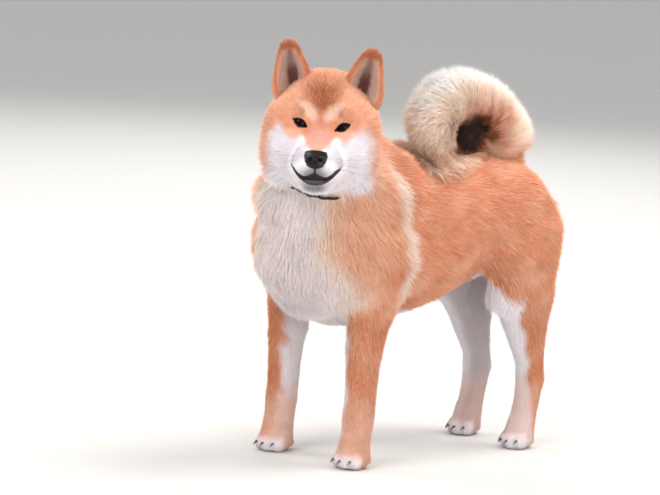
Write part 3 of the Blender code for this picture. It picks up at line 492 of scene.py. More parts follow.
# On the head: x, y, z and reach, then the share of the way back that turns upwards, length and depth.
HEAD_CHART = [
    (0, -98, -44, 13, 0.3, 2.6, 0.6), (14, -94, -66, 13, 0, 3.4, 0.8), (30, -74, -62, 16, 0, 5.0, 1.2),
    (0, -78, -98, 16, 0, 7.0, 2.0), (0, -66, -24, 16, 0.4, 4.4, 1.0), (16, -52, -16, 12, 0.4, 3.6, 0.8),
    (30, -47, -28, 10, 0, 4.0, 0.9), (44, -42, -12, 12, 0, 5.0, 1.2), (28, -50, 2, 12, 0.6, 6.0, 1.8),
    (0, -48, 22, 26, 0.6, 8.0, 2.0), (26, -36, 40, 24, 0.4, 9.0, 2.2), (0, 0, 62, 34, 0, 12, 3.2),
    (48, -36, -52, 18, 0, 13, 4.0), (72, -6, -30, 26, 0, 17, 4.5), (76, 4, -66, 26, -0.2, 24, 7.0),
    (54, -26, -88, 24, -0.2, 24, 7.0), (74, 16, 8, 20, 0, 14, 4.0), (30, 60, 40, 36, -0.2, 19, 6.0),
    (20, -40, -100, 24, -0.1, 20, 7.0), (30, 70, -10, 36, -0.4, 22, 6.0),
]
NOSE = np.array((0, -104, -56))
# The middle of the tail's curl, on the dog's ruler, where its hair is short and dark, deepened by painted
# shade.
HOLLOW = np.array((15, 76, 410))


def mirrored(rows, sign_at):
    """The rows and their mirror images on the right side, with the numbers at sign_at turned round."""
    both = []
    for row in rows:
        both.append(row)
        if row[0]:
            both.append([-value if k in sign_at else value for k, value in enumerate(row)])
    return np.array(both, float)


def blended(points, rows):
    """The rows' values at each point, mostly those of the rows whose place is near."""
    mixed = np.empty((len(points), rows.shape[1] - 4))
    for start in range(0, len(points), 20000):
        some = points[start:start + 20000]
        away = ((some[:, None, :] - rows[None, :, :3]) ** 2).sum(2) / rows[:, 3] ** 2
        weight = (away + 0.06) ** -2.5
        mixed[start:start + 20000] = (weight @ rows[:, 4:]) / weight.sum(1, keepdims=True)
    return mixed


BODY_ROWS = mirrored(BODY_CHART, (0, 4))
HEAD_ROWS = mirrored(HEAD_CHART, (0,))
TAIL_LINE = np.array([row[:3] for row in TAIL_ROWS], float)


def unit(vectors):
    return vectors / np.maximum(np.linalg.norm(vectors, axis=1, keepdims=True), 1e-9)


def along_tail(p):
    """For each point: how far along the tail it is, from 0 to 1, and the way the tail runs there."""
    steps = np.linspace(0, len(TAIL_LINE) - 1, 97)
    line = np.stack([np.interp(steps, range(len(TAIL_LINE)), TAIL_LINE[:, k]) for k in range(3)], 1)
    way = unit(np.gradient(line, axis=0))
    nearest = np.empty(len(p), int)
    for start in range(0, len(p), 20000):
        some = p[start:start + 20000]
        nearest[start:start + 20000] = ((some[:, None] - line[None]) ** 2).sum(2).argmin(1)
    return nearest / 96, way[nearest], line[nearest]


def coat_at(world):
    """The hair's way, length and depth at world points: arrays n by 3, n and n."""
    p, q = measured(world, BODY), measured(world, HEAD)
    on_body = blended(p, BODY_ROWS)
    on_head = blended(q, HEAD_ROWS)
    back = unit(q - NOSE) + np.array((0, 0.25, 0))
    back[:, 2] += on_head[:, 0]
    head_way = unit(back) @ np.array(HEAD)[:3, :3].T
    share = head_share(q)[:, None]
    way = unit(on_body[:, :3]) * (1 - share) + head_way * share
    length = on_body[:, 3] * (1 - share[:, 0]) + on_head[:, 1] * share[:, 0]
    depth = on_body[:, 4] * (1 - share[:, 0]) + on_head[:, 2] * share[:, 0]
    brush = tail_share(p)
    place, tail_way, centre = along_tail(p)
    # The tail's hair fans out from the middle of the curl, and stands off most on the outer side.
    out = unit(p - centre)
    from_hub = p - HOLLOW
    fan = unit(from_hub)
    outside = np.clip((out * fan).sum(1), 0, 1)
    way = way * (1 - brush[:, None]) + (0.55 * tail_way + 0.8 * fan) * brush[:, None]
    open_curl = 0.45 + 0.55 * ramp(np.linalg.norm(from_hub, axis=1), 22, 48)
    short = open_curl * (1 - 0.3 * ramp(place, 0.8, 1))
    length = length * (1 - brush) + (31 + 9 * outside) * short * brush
    depth = depth * (1 - brush) + (10 + 14 * outside) * short * brush
    return unit(way), length, depth


way, length, depth = coat_at(points_of(skin))
print("hair length from", round(length.min(), 1), "to", round(length.max(), 1), "mm")

# %% [markdown]
# The skin now sinks by the depth of the coat. Under the eyes' lids it is set from the eyeballs: just
# in front of them where there is lid, and behind them inside the almond-shaped opening.

# %% Skin under the coat, and the openings of the eyes
OPENING = (10.4, 5.0)
SLANT = math.radians(27)
# How far the soles of the skin, and the tufts under the paws, stay off the floor.
SOLE_GAP, TUFT_GAP = 0.4, 0.2
# Middle of each eyeball on the head's ruler, x counted outwards: the left eye is 1, the right one -1.
EYES = {1: (27.4, -35.5, -13.6), -1: (25.4, -35.5, -11.2)}


def normals_of(item):
    flat = np.empty(len(item.data.vertices) * 3, np.float64)
    item.data.vertex_normals.foreach_get("vector", flat)
    return flat.reshape(-1, 3)


points = points_of(skin)
sink = np.where(tail_share(measured(points, BODY)) > 0.5, 0, depth)
points = points - normals_of(skin) * sink[:, None] * MM
q = measured(points, HEAD)


def opening_place(q, side):
    """Across and up in an eye's own slanted opening, and how far out a point is: 1 on its edge."""
    across = side * q[:, 0] - EYES[side][0]
    up = q[:, 2] - EYES[side][2]
    u = across * math.cos(SLANT) + up * math.sin(SLANT)
    v = up * math.cos(SLANT) - across * math.sin(SLANT)
    half = OPENING[1] * np.clip(1 - (np.abs(u) / OPENING[0]) ** 1.7, 0.02, 1)
    return u, v, np.maximum(np.abs(v) / half, np.abs(u) / OPENING[0])


for side in (1, -1):
    u, v, out = opening_place(q, side)
    ex, ey, ez = EYES[side]
    reach = EYE_RADIUS ** 2 - (side * q[:, 0] - ex) ** 2 - (q[:, 2] - ez) ** 2
    ball = ey - np.sqrt(np.clip(reach, 0, None))
    near = q[:, 1] < -20
    inside = near & (out < 1)
    q[inside, 1] = np.maximum(q[inside, 1], np.where(reach > 0, ball + 1.6, q[:, 1] + 5)[inside])
    lid = near & (out >= 1) & (reach > 0)
    q[lid, 1] = np.minimum(q[lid, 1], ball[lid] - 0.9)
points = in_world(q, HEAD)
points[:, 2] = np.maximum(points[:, 2], SOLE_GAP * MM)
set_points(skin, points)
print("skin sunk by", round(sink.min(), 1), "to", round(sink.max(), 1), "mm")

# %% [markdown]
# A shiba's ears are small, thick triangles with round tips, set a little forward. Each starts as a
# flat grid that is drawn to the outline, hollowed into a cup, given its thickness and eased. Its base
# stands inside the head, and it is joined to the skin.

# %% Ears
EAR_HEIGHT = 71.0
EAR_WALL = 3.4
# Up the ear as a share of its height, then how far it reaches inwards and outwards from its middle.
EAR_OUTLINE = np.array([
    (0, 23, 17), (0.1, 24.5, 21.5), (0.22, 26, 23.5), (0.45, 25, 21), (0.62, 20.8, 17.2),
    (0.775, 16, 13.2), (0.875, 13.2, 11), (0.95, 10.4, 8.8), (1, 6.5, 6),
])
# Base on the head's ruler, x counted outwards, and the lean outwards in degrees, for left and right.
EARS = {1: (46, -6, 14, 8.6), -1: (41.5, -6, 18.5, 6.2)}


def ear_ruler(side):
    x, y, z, lean = EARS[side]
    ruler = HEAD @ Matrix.Translation(mm(side * x, y, z))
    for degrees, axis in ((side * lean, "Y"), (side * 14, "Z"), (5, "X")):
        ruler = ruler @ Matrix.Rotation(math.radians(degrees), 4, axis)
    return ruler @ Matrix.Diagonal((side, 1, 1, 1))


face_skin_points = len(skin.data.vertices)
for side in (1, -1):
    shell = bmesh.new()
    bmesh.ops.create_grid(shell, x_segments=18, y_segments=24, size=1)
    for corner in shell.verts:
        u, high = corner.co.x, (corner.co.y + 1) / 2
        reach = np.interp(high, EAR_OUTLINE[:, 0], EAR_OUTLINE[:, 1 if u < 0 else 2])
        cup = (1 - u * u) ** 2 * (1 + 12 * (1 - high) ** 0.8)
        corner.co = mm(u * reach, cup, EAR_HEIGHT * (high - 0.02 * u * u))
    shell.normal_update()
    bmesh.ops.solidify(shell, geom=shell.faces[:], thickness=EAR_WALL * MM)
    bmesh.ops.transform(shell, matrix=ear_ruler(side), verts=shell.verts)
    bmesh.ops.recalc_face_normals(shell, faces=shell.faces)
    ear = as_object(shell, "ear_shell")
    finer = ear.modifiers.new("finer", "SUBSURF")
    finer.levels = 1
    finer.render_levels = 1
    apply_modifiers(ear)
    both = bmesh.new()
    both.from_mesh(skin.data)
    both.from_mesh(ear.data)
    both.to_mesh(skin.data)
    both.free()
    bpy.data.objects.remove(ear)
smooth_shaded(skin)


def ear_place(world):
    """How far across an ear a point is, -1 to 1 with the outer edge at 1, how far up, and its side."""
    side = np.sign(measured(world, HEAD)[:, 0])
    across, up = np.zeros(len(world)), np.zeros(len(world))
    for sign in (1, -1):
        local = measured(world, ear_ruler(sign))
        high = np.clip(local[:, 2] / EAR_HEIGHT, 0, 1)
        inward = np.interp(high, EAR_OUTLINE[:, 0], EAR_OUTLINE[:, 1])
        outward = np.interp(high, EAR_OUTLINE[:, 0], EAR_OUTLINE[:, 2])
        share = local[:, 0] / np.where(local[:, 0] < 0, inward, outward)
        across = np.where(side == sign, share, across)
        up = np.where(side == sign, high, up)
    return across, up, side


print("skin with ears:", len(skin.data.vertices), "points")

# %% [markdown]
# A red shiba is not one colour. The back, flanks, crown and outer legs are orange red, and the belly,
# chest, throat, cheeks, inner legs and the outer side of the curled tail are cream to white, a pattern
# that breeders ask for. The tips on the forehead are dusted with black. All of it is written as
# functions of the place, and both the skin and each tuft take their colour from them.

# %% Colours as linear light


def light(code):
    """An sRGB hex value as linear red, green and blue."""
    parts = [int(code[k:k + 2], 16) / 255 for k in (0, 2, 4)]
    return np.array([part / 12.92 if part <= 0.04045 else ((part + 0.055) / 1.055) ** 2.4 for part in parts])


RED = light("E2966F")
DEEP_RED = light("C9764C")
PALE_RED = light("F0BE9F")
FOREHEAD = light("A85B2D")
PEACH = light("D0988C")
CREAM = light("F4E0D0")
# The tail's cream and white are lighter than the body's: painted light on the tail.
LIT_TAIL_CREAM = light("FFE9D6")
LIT_TAIL_WHITE = light("FBF7F5")
WHITE = light("F2EDF3")
# White dimmed a little: painted shade, for the chest and the forelegs.
SHADED_WHITE = light("E6DDDF")
# A grey for painted shade on the inner side of the far hind leg.
SHADED_LEG_GREY = light("C2B7B9")
SABLE = light("54372A")
# Dark brown for the dark hair deep in the tail's curl, with painted shade in it.
HOLLOW_HAIR_AND_SHADE = light("2B1610")
PINK = light("E6B8A2")
LIP = light("1D181A")
GREY = light("6F6671")
EAR_SKIN = light("6A3B36")
EAR_HAIR = light("C8A596")
print("red coat in linear light:", RED.round(3))

# %% Paint


def waves(p, size, seed):
    """Soft irregular patches, from -1 to 1, about size millimetres across."""
    dice = np.random.default_rng(seed)
    total = np.zeros(len(p))
    for _ in range(6):
        direction = unit(dice.normal(size=(1, 3)))[0]
        total += np.sin(p @ direction * (2 * math.pi / size) * dice.uniform(0.6, 1.6) + dice.uniform(0, 6.3))
    return np.clip(total / 3, -1, 1)


def paint(colours, colour, share):
    """Colours with one colour laid over them by its share."""
    return colours + (colour - colours) * np.clip(share, 0, 1)[:, None]


def painted(points, base, *layers):
    """A base colour at every point, with each layer's colour laid over it by the layer's share."""
    made = np.tile(base, (len(points), 1))
    for colour, share in layers:
        made = paint(made, colour, share)
    return made


def spot(q, x, y, z, reach_x, reach_y, reach_z):
    """1 at a place on both sides of the head, fading to 0 at its reach."""
    away = ((np.abs(q[:, 0]) - x) / reach_x) ** 2 + ((q[:, 1] - y) / reach_y) ** 2
    return 1 - ramp(away + ((q[:, 2] - z) / reach_z) ** 2, 0.4, 1.3)


print("ready: waves, painted, spot")

# %% Body and tail colours


def own_foot(x, kind):
    """The x and the y of the fore or hind paw on each point's own side."""
    left, right = [foot[1:] for foot in FEET if foot[0] == kind]
    return [np.where(x > 0, *both) for both in zip(left, right)]


def body_colours(p):
    """Colours of body, neck and legs on the dog's ruler."""
    x, y, z = p[:, 0], p[:, 1], p[:, 2]
    side, across, soft = np.abs(x), np.abs(x - 8), waves(p, 60, 1)
    fore_x, fore_y = own_foot(x, "fore")
    hind_x, hind_y = own_foot(x, "hind")
    # Behind the shoulder lies the light cape, with its sharp rear edge.
    line = -96 - 0.22 * np.clip(z - 281, 0, None) + 3 * soft
    cape = ramp(line + 13 - y, -2, 6) * ramp(y - line + 16, 0, 20)
    cape = np.where(x > 0, 0.95, 0.4) * cape * ramp(z, 205, 240) * ramp(side, 30, 60)
    # The white of the belly rises into the fringe in front of the thigh.
    rise = 0.14 * np.clip(y + 40, 0, 200) + 24 * np.exp(-((y - 52) / 34) ** 2)
    belly = fall(z, 182 + rise, 200 + rise) * (y < 120) * ((y > -80) | (side < 44))
    wide = np.interp(z, [205, 225, 262, 285, 330, 350], [62, 90, 86, 68, 66, 62]) + 4 * soft
    chest = ramp(wide + 10 - across, 0, 26) * fall(y, -160, -118) * ramp(z, 190, 212)
    # Forelegs are white inside, and hind legs in front and inside.
    fore = (y < -60) * fall(z, 212, 232)
    white_edge = np.where(x > 0, -3, -11) + 2 * soft + 2.5 * waves(p, 24, 12)
    hind = (y > 50) * fall(z, 228, 252)
    edge = np.interp(z, [20, 74, 133, 161, 190, 223, 250], [168, 161, 148, 134, 118, 96, 72])
    front = np.maximum(ramp(edge - y + 3 * soft, -4, 6), ramp(-(x - hind_x) * np.sign(x), 2, 14))
    inner = ramp(y, 50, 74) * fall(z, 238, 262) * fall(side, 35, 47)
    rear = ramp(y, 168, 204) * fall(side, -6, 14 + 0.32 * np.clip(345 - z, 0, 110)) * fall(z, 290, 352)
    toe = np.where(y < 0, fore_y, hind_y) - y
    return painted(
        p, RED,
        (DEEP_RED, 0.25 * ramp(z, 330, 400) + 0.3 * soft),
        (PALE_RED, 0.3 * fall(z, 225, 300) + 0.35 * waves(p, 34, 2)),
        # Deeper red low on the legs; the extra on the dog's right foreleg is painted shade.
        (DEEP_RED, (0.35 + 0.35 * (y < -60) * (x < 0)) * fall(z, 190, 215)),
        (PALE_RED, 0.6 * fall(y, -140, -105) * ramp(z, 230, 280)),
        (CREAM, cape),
        # Painted shade along the lower flank, above the white of the belly.
        (DEEP_RED, 0.6 * fall(z, 204 + rise, 246 + rise) * (np.abs(y - 10) < 90)),
        (WHITE, belly),
        (PALE_RED, chest),
        (CREAM, 0.9 * chest * ramp(wide - across, -6, 22)),
        # The middle of the chest is white dimmed by painted shade.
        (SHADED_WHITE, 0.8 * chest * ramp(wide - 8 - across, -6, 24)),
        # On the forelegs the white is dimmed by painted shade.
        (SHADED_WHITE, fore * ramp(white_edge - (x - fore_x) * np.sign(x), -4, 5)),
        (SHADED_WHITE, 0.8 * fore * ramp(y - fore_y, 12, 20) * fall(z, 130, 170)),
        (WHITE, hind * front),
        (WHITE, inner),
        # Painted shade on the inner side of the far hind leg.
        (SHADED_LEG_GREY, 0.8 * inner * (x < 0)),
        (CREAM, 0.85 * rear),
        # Feet: pinkish over the pastern, white toes.
        (PINK, np.where(y < 0, 0.75, 0.5) * ramp(7 * waves(p, 24, 13) - z, -104, -58)),
        (WHITE, 0.9 * fall(z, 12, 24) * ramp(toe, 4, 12)),
    )


def tail_colours(p):
    """Colours of the tail: cream, whitest outside, red at its root and dark in the hollow of the curl, where
    dark hair is deepened by painted shade. Its cream and white are painted lighter than the body's.
    """
    place, _, centre = along_tail(p)
    outward = -(unit(p - centre) * unit(HOLLOW - centre)).sum(1) + 0.15 * waves(p, 18, 10)
    near = np.linalg.norm((p - HOLLOW) * (1, 1, 1.25), axis=1) + 6 * waves(p, 14, 11)
    return painted(
        # Cream and white lighter than the body's, as painted light.
        p, LIT_TAIL_CREAM,
        (LIT_TAIL_WHITE, ramp(outward, -0.1, 0.6) * fall(place, 0.6, 0.9)),
        (PALE_RED, 0.25 * ramp(place, 0.6, 0.95)),
        (RED, 0.8 * (1 - ramp(near, 34, 58)) * fall(place, 0.5, 0.75)),
        (RED, 0.85 * fall(place, 0.1, 0.24)),
        # Dark brown round the hollow and darker in it: dark hair there, deepened by painted shade.
        (FOREHEAD, 0.8 - 0.8 * ramp(near, 27, 42)),
        (HOLLOW_HAIR_AND_SHADE, 1 - ramp(near, 17, 34)),
    )


p = measured(points_of(skin), BODY)
print("mean body colour:", body_colours(p).mean(0).round(2), "and tail:", tail_colours(p).mean(0).round(2))

# %% Head colours


def mouth_edges(side):
    """The lower lip's lower edge and the line of the mouth at a distance from the middle of the face."""
    low = -88.5 + 16.5 * (side / 27) ** 2.3
    mouth = -76 - 4.5 * np.sin(math.pi * np.clip(side / 25, 0, 1)) + 12 * (side / 31) ** 4
    return low, mouth


def head_colours(q):
    """Colours of the head on its own ruler."""
    x, y, z = q[:, 0], q[:, 1], q[:, 2]
    side = np.abs(x)
    # The forehead is dusted dark in a wedge that points down to the bridge, with a line in its middle.
    half = 9 + 0.65 * np.clip(z, 0, 50)
    wedge = (1 - ramp(side / half, 0.25, 1.35)) * ramp(z, -10, 10) * fall(z, 24, 56)
    wedge = wedge * fall(y, -10, 24)
    middle = (1 - ramp(side, 0.5, 2.2)) * ramp(z, 8, 20) * fall(y, -10, 10)
    # White cheeks and muzzle, up to the red of the bridge.
    top = np.interp(side, [14, 22, 32, 42, 50, 58, 66], [-46, -37, -29, -20, -15, -19, -30])
    cheek = ramp(top - z + 4 * waves(q, 26, 4), -9, 11) * fall(side, 47, 69) * ramp(side, 12, 20)
    bridge = np.interp(z, [-46, -42, -27, -18], [6, 9, 19, 22])
    muzzle = fall(y, -64, -52) * np.maximum(ramp(side - bridge, -2, 4), fall(z, -60, -54)) * fall(z, -28, -20)
    brow_middle = 15.5 + 0.7 * (z - 2.5)
    brow = 1 - ramp(((side - brow_middle) / 9) ** 2 + ((z - 1) / 11.5) ** 2, 0.0, 1.5)
    # Dark lips with ridges in their middle, the skin between nose and mouth, and rows of whisker spots.
    low, mouth = mouth_edges(side)
    lips = ramp(mouth + 2.2 - z, 0, 0.8) * ramp(z - low, 0, 0.8) * (side < 30) * (y < -50)
    ridges = 0.3 + 0.3 * (0.5 + 0.5 * np.sin(x * 2.6))
    ridged = fall(side, 7, 13) * (1 - ramp(np.abs(z + 84), 1.4, 3.2))
    rows = np.cos(y * 2 * math.pi / 4.4) * np.cos((z + 0.3 * y) * 2 * math.pi / 4.0)
    made = painted(
        q, RED,
        (PALE_RED, 0.42 * ramp(side, 10, 30) * ramp(z, -26, 6) * fall(z, 30, 62)),
        (FOREHEAD, 0.9 * wedge + 0.1 * waves(q, 22, 3)),
        (SABLE, 0.22 * middle),
        (WHITE, cheek * fall(y, -4, 26)),
        (WHITE, muzzle),
        (WHITE, fall(z, -84, -70) * fall(side, 50, 66)),
        # Peach along the bridge, pale spots over the brows, and a few dark hairs between spot and eye.
        (PEACH, 0.75 * fall(y, -58, -48) * fall(side, 10, 20) * ramp(z, -48, -40)),
        (RED, 0.35 * fall(y, -56, -44) * (1 - ramp(np.abs(side - 16), 2, 7)) * ramp(z, -40, -24)),
        (CREAM, 0.6 * brow * fall(y, -42, -30)),
        (SABLE, 0.3 * spot(q, 23, -48, -0.5, 2.6, 16, 5)),
        (PALE_RED, 0.65 * spot(q, 31, -46, -24, 12, 16, 5.5)),
        # The far sides of the cheeks turn peach. Round the mouth the skin is greyish, deepened by painted
        # shade, and the pads beside the nose get a little painted shade.
        (PALE_RED, 0.85 * ramp(side, 58, 70) * fall(z, -20, 10) * (1 - 0.5 * ramp(y, 10, 50))),
        (GREY, 0.85 * fall(y, -88, -74) * (1 - ramp(z - mouth, 5, 19)) * fall(side, 7, 22)),
        (GREY, 0.3 * spot(q, 22, -84, -54, 15, 20, 17)),
        (SABLE, 0.4 * ramp(rows, 0.55, 0.95) * spot(q, 22, -84, -60, 9, 13, 8)),
        (LIP, lips),
        (GREY, ridges * lips * ridged),
        (LIP, fall(side, 0.6, 1.3) * fall(y, -90, -84) * (z < -66) * (z > -78)),
    )
    # Dark skin in the corners of the eyes.
    for sign in (1, -1):
        made[(opening_place(q, sign)[2] < 1.12) & (sign * x > 0) & (y < -30)] = LIP
    return made


print("mean head colour:", head_colours(measured(points_of(skin), HEAD)).mean(0).round(2))

# %% Ear colours, and the markings on the skin


def ear_colours(world, inner):
    """Red outside and along the rim, mauve brown skin in the cup, with pale hair on both its sides."""
    across, up, _ = ear_place(world)
    reach = np.abs(across)
    inside = inner * (1 - np.maximum(ramp(reach, 0.62, 0.86), ramp(up, 0.74, 0.9)))
    centre = 1 - ramp(np.abs(across + 0.05), 0.26, 0.74)
    return painted(
        world, RED,
        (DEEP_RED, 0.5 * np.maximum(ramp(up, 0.6, 0.95), ramp(reach, 0.5, 0.9))),
        # Darker brown high in the cup: painted shade.
        (FOREHEAD, 0.7 * inner * ramp(up, 0.7, 0.84) * fall(up, 0.9, 0.97)),
        (PALE_RED, 0.5 * ramp(across, 0.8, 1) * fall(up, 0.4, 0.7)),
        (EAR_HAIR, inside),
        (EAR_SKIN, inside * centre * (1 - 0.5 * ramp(up, 0.45, 0.75))),
    )


def frontwards(normals):
    """How far a surface faces the way that the head looks, from -1 to 1."""
    return -(normals @ np.array(HEAD_BACK))


def colours_at(world, normals, on_ear):
    """The coat's colour at world points."""
    p, q = measured(world, BODY), measured(world, HEAD)
    share, brush = head_share(q)[:, None], tail_share(p)[:, None]
    made = body_colours(p) * (1 - share) + head_colours(q) * share
    made = made * (1 - brush) + tail_colours(p) * brush
    ears = ear_colours(world, ramp(frontwards(normals), 0.0, 0.3))
    return np.where(on_ear[:, None], ears, made)


def set_colours(mesh, colours):
    layer = mesh.color_attributes.new("markings", "FLOAT_COLOR", "POINT")
    rgba = np.ones((len(colours), 4), np.float32)
    rgba[:, :3] = np.clip(colours, 0, 1)
    layer.data.foreach_set("color", rgba.ravel())


# The skin takes the coat's colours a little darker: painted shade under the hair.
SKIN_SHADE = 0.95
ear_point = np.arange(len(skin.data.vertices)) >= face_skin_points
set_colours(skin.data, colours_at(points_of(skin), normals_of(skin), ear_point) * SKIN_SHADE)
print("markings set on", len(skin.data.vertices), "points")

# %% [markdown]
# Each finish starts from what it is on the animal. One small function adds a shader node with its
# settings and links.

# %% A helper for materials


def finish(name):
    made = bpy.data.materials.new(name)
    made.use_nodes = True
    made.node_tree.nodes.clear()
    return made, made.node_tree


def add(tree, kind, inputs=(), **settings):
    """Adds a node, sets its settings, and gives each input a value or a link."""
    node = tree.nodes.new(kind)
    for name, value in settings.items():
        setattr(node, name, value)
    for name, value in dict(inputs).items():
        if isinstance(value, bpy.types.NodeSocket):
            tree.links.new(value, node.inputs[name])
        else:
            node.inputs[name].default_value = value
    return node


# %% Coat and skin
# Guard hair: keratin with a soft, satin sheen along each hair; the colour comes from the markings.
coat, tree = finish("double_coat_guard_hair")
marks = add(tree, "ShaderNodeAttribute", attribute_name="markings")
hairs = add(tree, "ShaderNodeBsdfPrincipled", {"Base Color": marks.outputs["Color"], "Roughness": 0.62,
            "IOR": 1.5, "Specular IOR Level": 0.25, "Sheen Weight": 0.35, "Sheen Roughness": 0.4,
            "Sheen Tint": (1, 0.93, 0.86, 1)})
add(tree, "ShaderNodeOutputMaterial", {"Surface": hairs.outputs["BSDF"]})

# Skin with its undercoat: matt wool, with a fine nap about 1.5 mm across.
under, tree = finish("woolly_undercoat_skin")
marks = add(tree, "ShaderNodeAttribute", attribute_name="markings")
place = add(tree, "ShaderNodeTexCoord")
nap = add(tree, "ShaderNodeTexNoise", {"Vector": place.outputs["Object"], "Scale": 650, "Detail": 3})
raised = add(tree, "ShaderNodeBump", {"Height": nap.outputs["Fac"], "Strength": 0.5, "Distance": 0.0008})
wool = add(tree, "ShaderNodeBsdfPrincipled", {"Base Color": marks.outputs["Color"], "Roughness": 0.85,
           "Normal": raised.outputs["Normal"]})
add(tree, "ShaderNodeOutputMaterial", {"Surface": wool.outputs["BSDF"]})
skin.data.materials.clear()
skin.data.materials.append(under)
print("finishes:", coat.name, "and", under.name)

# %% [markdown]
# The skin is unwrapped before the coat grows, because each tuft's patch in the coat's bake map lies
# where its root is on this unwrap.

# %% Unwrap of the skin
bpy.ops.object.select_all(action="DESELECT")
bpy.context.view_layer.objects.active = skin
skin.select_set(True)
bpy.ops.object.mode_set(mode="EDIT")
bpy.ops.mesh.select_all(action="SELECT")
bpy.ops.uv.smart_project(angle_limit=math.radians(66), island_margin=0.002)
bpy.ops.object.mode_set(mode="OBJECT")
skin.data.uv_layers.active.name = "OFBake"
print("unwrap:", len(skin.data.uv_layers), "map")

# %% [markdown]
# Roots are strewn over the skin's triangles, closer together where the hair is short. A tuft is a thin
# closed spike of four faces: it starts inside the skin, leans along the lie of the coat and ends in a
# point. Array arithmetic makes them all at once, since no operator would be quick enough for so many.

# %% Roots of the coat
TUFTS = 370000
dice = np.random.default_rng(20)
skin.data.calc_loop_triangles()


def per_triangle(field):
    """The three corners or loops of each of the skin's triangles."""
    flat = np.empty(len(skin.data.loop_triangles) * 3, np.int32)
    skin.data.loop_triangles.foreach_get(field, flat)
    return flat.reshape(-1, 3)


corners, loops = per_triangle("vertices"), per_triangle("loops")
flat = np.empty(len(skin.data.loops) * 2, np.float32)
skin.data.uv_layers["OFBake"].data.foreach_get("uv", flat)
skin_uv = flat.reshape(-1, 2)
points = points_of(skin)
skin_normals = normals_of(skin)
middles = points[corners].mean(1)
areas = np.linalg.norm(np.cross(points[corners[:, 1]] - points[corners[:, 0]],
                                points[corners[:, 2]] - points[corners[:, 0]]), axis=1) / 2
ear_corner = ear_point[corners].all(1)
length = np.where(ear_corner, 6.0, coat_at(middles)[1])
p, q = measured(middles, BODY), measured(middles, HEAD)


def bare(q):
    """Places without hair: lips, the nose leather, and the eyes with their rims."""
    side = np.abs(q[:, 0])
    low, mouth = mouth_edges(side)
    lips = (q[:, 2] < mouth + 1.8) & (q[:, 2] > low - 0.3) & (side < 30) & (q[:, 1] < -50)
    nose = (side < 13.5) & (q[:, 1] < -90) & (q[:, 2] > -70) & (q[:, 2] < -44)
    eyes = np.zeros(len(q), bool)
    for sign in (1, -1):
        eyes |= (opening_place(q, sign)[2] < 1.16) & (sign * q[:, 0] > 0) & (q[:, 1] < -30)
    return lips | nose | eyes


spacing = np.where(p[:, 2] < 205, 0.76, 0.58) + 0.023 * length
spacing = np.where(tail_share(p) > 0.5, 0.84, spacing)
density = areas / (spacing * MM) ** 2
density[bare(q) & ~ear_corner] = 0
density[p[:, 2] < 1.2] = 0
chosen = dice.choice(len(corners), TUFTS, p=density / density.sum())
a, b = dice.random((TUFTS, 1)), dice.random((TUFTS, 1))
a, b = np.where(a + b > 1, 1 - a, a), np.where(a + b > 1, 1 - b, b)
mix = np.concatenate([1 - a - b, a, b], 1)[:, :, None]
roots = (points[corners[chosen]] * mix).sum(1)
normals = unit((skin_normals[corners[chosen]] * mix).sum(1))
root_uv = (skin_uv[loops[chosen]] * mix).sum(1)
print("asked for", round(density.sum()), "roots at full density, placed", TUFTS)

# %% Lie, length and colour of every tuft
way, length, depth = coat_at(roots)
p, q = measured(roots, BODY), measured(roots, HEAD)
brush = tail_share(p)
on_ear = ear_corner[chosen]
across, up, ear_side = ear_place(roots)
inner_ear = on_ear & (frontwards(normals) > 0.1) & (np.abs(across) < 0.8) & (up < 0.85)
ear_up, ear_out = np.array(HEAD_UP), np.array(HEAD_LEFT)
way[on_ear] = (ear_up + (0.5 * ear_side * across ** 3)[:, None] * ear_out)[on_ear]
to_middle = (-ear_side * np.sign(across + 0.08))[:, None] * ear_out
way[inner_ear] = unit(ear_up + 0.8 * to_middle)[inner_ear]
bare_cup = inner_ear & (np.abs(across + 0.05) < 0.42)
length = np.where(on_ear, np.where(inner_ear, 9 - 3 * up, 7.0), length)
depth = np.where(on_ear, np.where(inner_ear, 2.4, 2.2), depth)
swirl = np.stack([waves(p, 46, seed) for seed in (5, 6, 7)], 1)
way = unit(way + dice.normal(size=way.shape) * 0.10 + 0.12 * swirl)
way = unit(way - normals * (way * normals).sum(1, keepdims=True))
length = length * dice.uniform(0.75, 1.15, TUFTS)
depth = depth * dice.uniform(0.6, 1.05, TUFTS) * (1 + 0.12 * waves(p, 22, 8))
colours = colours_at(roots, normals, on_ear)
length = np.where(bare_cup, 3.0, length)
# Single guard hairs are paler or deeper than their neighbours, and in the ears they are the pale ones.
kind = dice.random(TUFTS)
colours = paint(colours, EAR_HAIR, 0.85 * (inner_ear & ~bare_cup) * (kind < 0.65))
orange = ramp(colours[:, 0] - colours[:, 2], 0.25, 0.45)
colours = paint(colours, CREAM, 0.3 * orange * (kind < 0.2) * ~on_ear)
colours = paint(colours, FOREHEAD, 0.3 * orange * (kind > 0.86) * ~on_ear)
width = (0.62 + 0.029 * length - 0.009 * length * brush) * dice.uniform(0.8, 1.3, TUFTS)
# One in ten stands off a little more, which makes the outline soft.
depth = depth + np.minimum(0.6 * depth, 3.0) * (dice.random(TUFTS) < 0.1) * ~on_ear * (brush < 0.5)
kept = ~bare(measured(roots + way * length[:, None] * MM, HEAD)) | on_ear
tufts = {"root": roots, "out": normals, "lie": way, "length": length[:, None], "depth": depth[:, None],
         "width": width[:, None], "colour": colours, "uv": root_uv, "place": p}
print("tufts on the ears:", int(on_ear.sum()), "and on the tail:", int((brush > 0.5).sum()))

# %% Spikes
# A tuft's corners are two on the skin, one on the ridge and the tip. Its faces are the root end, the
# underside, and the two slopes.
TUFT_FACES = np.array([(0, 1, 2), (0, 3, 1), (1, 3, 2), (2, 3, 0)])
